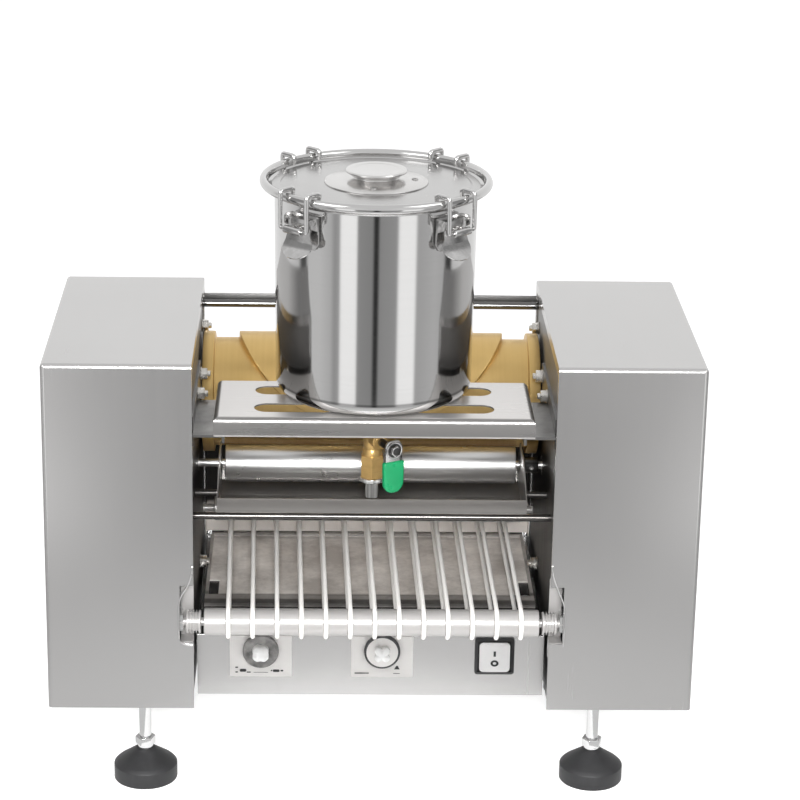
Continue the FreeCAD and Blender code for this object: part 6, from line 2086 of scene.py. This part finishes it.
    def card(self, name: str, bm: BMesh, greys: Outline, fade: Sequence[Point]) -> None:
        """Makes one card whose grey follows the direction from the middle.

        Args:
            name: the card's name.
            bm: its shape, used up.
            greys: (degrees from the front, grey) in order.
            fade: (distance, share, grey) of the even grey that takes over near the middle.
        """
        obj = put_in(name, bm)
        for ray in ("camera", "diffuse", "shadow", "transmission", "volume_scatter"):
            setattr(obj, "visible_" + ray, False)
        mat = bpy.data.materials.new(name)
        mat.use_nodes = True
        g, nodes = Graph(mat.node_tree), mat.node_tree.nodes
        nodes.remove(nodes["Principled BSDF"])
        place = g.add("ShaderNodeTexCoord").outputs["Object"]
        pins = {0: place, 1: (0.0, self.ring_centre, 0.0)}
        shift = g.add("ShaderNodeVectorMath", pins, operation="SUBTRACT")
        split = g.add("ShaderNodeSeparateXYZ", {0: shift.outputs[0]}).outputs
        pins = {0: split["X"], 1: g.times(split["Y"], -1.0)}
        angle = g.add("ShaderNodeMath", pins, operation="ARCTAN2")
        pins = {"Value": angle.outputs[0], "From Min": -math.pi, "From Max": math.pi}
        span = g.add("ShaderNodeMapRange", pins)
        stops = [((degrees + 180) / 360, grey / self.card_gain) for degrees, grey in greys]
        tone = g.greys(span.outputs[0], stops)
        if fade:
            flat = g.add("ShaderNodeCombineXYZ", {0: split["X"], 1: split["Y"]})
            length = g.add("ShaderNodeVectorMath", {0: flat.outputs[0]}, operation="LENGTH")
            pins = {"Value": length.outputs["Value"], "From Max": self.card_radius}
            near = g.add("ShaderNodeMapRange", pins).outputs[0]
            share = g.greys(near, [(reach / self.card_radius, part) for reach, part, _ in fade])
            even = g.greys(
                near, [(reach / self.card_radius, grey / self.card_gain) for reach, _, grey in fade]
            )
            pins = {"Factor": share, 6: tone, 7: even}
            tone = g.add("ShaderNodeMix", pins, data_type="RGBA").outputs[2]
        glow = g.add("ShaderNodeEmission", {"Color": tone, "Strength": self.card_gain})
        g.feed(nodes["Material Output"], {"Surface": glow.outputs[0]})
        obj.data.materials.append(mat)

    def lamps(self) -> None:
        """Hangs three soft lamps that give the shapes their shade."""
        for name, place, size, power in (
            ("lamp_left", (-2.2, -1.8, 2.6), 1.6, 22.0),
            ("lamp_right", (2.0, -1.2, 2.8), 1.6, 14.0),
            ("lamp_front", (-0.05, -2.5, 1.3), 0.7, 78.0),
        ):
            data = bpy.data.lights.new(name, "AREA")
            data.shape = "SQUARE"
            data.size = size
            data.energy = power
            lamp = bpy.data.objects.new(name, data)
            lamp.location = place
            aim = Vector(self.lamp_aim) - Vector(place)
            lamp.rotation_mode = "QUATERNION"
            lamp.rotation_quaternion = aim.to_track_quat("-Z", "Y")
            bpy.context.scene.collection.objects.link(lamp)


SPARED = (
    "drum_barrel", "drum_pad", "bucket_vessel", "bucket_cover", "cover_knob", "knob_screws",
    "handle_blade", "spindle_nut", "valve_spindle", "label_pair", "grip_left", "grip_right",
    "dial_face", "rocker_cap", "plate_bolts", "inner_plate_left", "inner_plate_right",
    "shelf_brackets", "shaft_collar", "string_roller_arms", "dial_marks", "rocker_marks",
    "switch_bezel")
"""The pieces that the front lamp leaves out, so that they keep their own shade."""


def spare_pieces() -> None:
    """Keeps the front lamp off the spared pieces."""
    group = bpy.data.collections.new("spared")
    for name in SPARED:
        group.objects.link(bpy.data.objects[name])
    bpy.data.objects["lamp_front"].light_linking.receiver_collection = group
    for entry in group.collection_objects:
        entry.light_linking.link_state = "EXCLUDE"


def main() -> None:
    """Builds the machine's looks in order."""
    logging.basicConfig(level=logging.INFO, format="%(message)s")
    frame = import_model()
    Studio().build()
    wardrobe = Wardrobe()
    dress_nodes(wardrobe, frame["nodes"])
    parts: list[Assembly] = [Bucket(wardrobe)]
    parts += [Latch(wardrobe, number=k, turn=turn) for k, turn in enumerate(LATCH_TURNS, start=1)]
    parts.append(Drum(wardrobe, body="drum"))
    parts += [
        kind(wardrobe) for kind in (Rollers, Back, Notches, Valve, ControlFront, Feet, Fasteners)]
    for part in parts:
        part.build()
        part.report()
    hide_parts("clamp_brackets")
    spare_pieces()


if __name__ == "__main__":
    main()
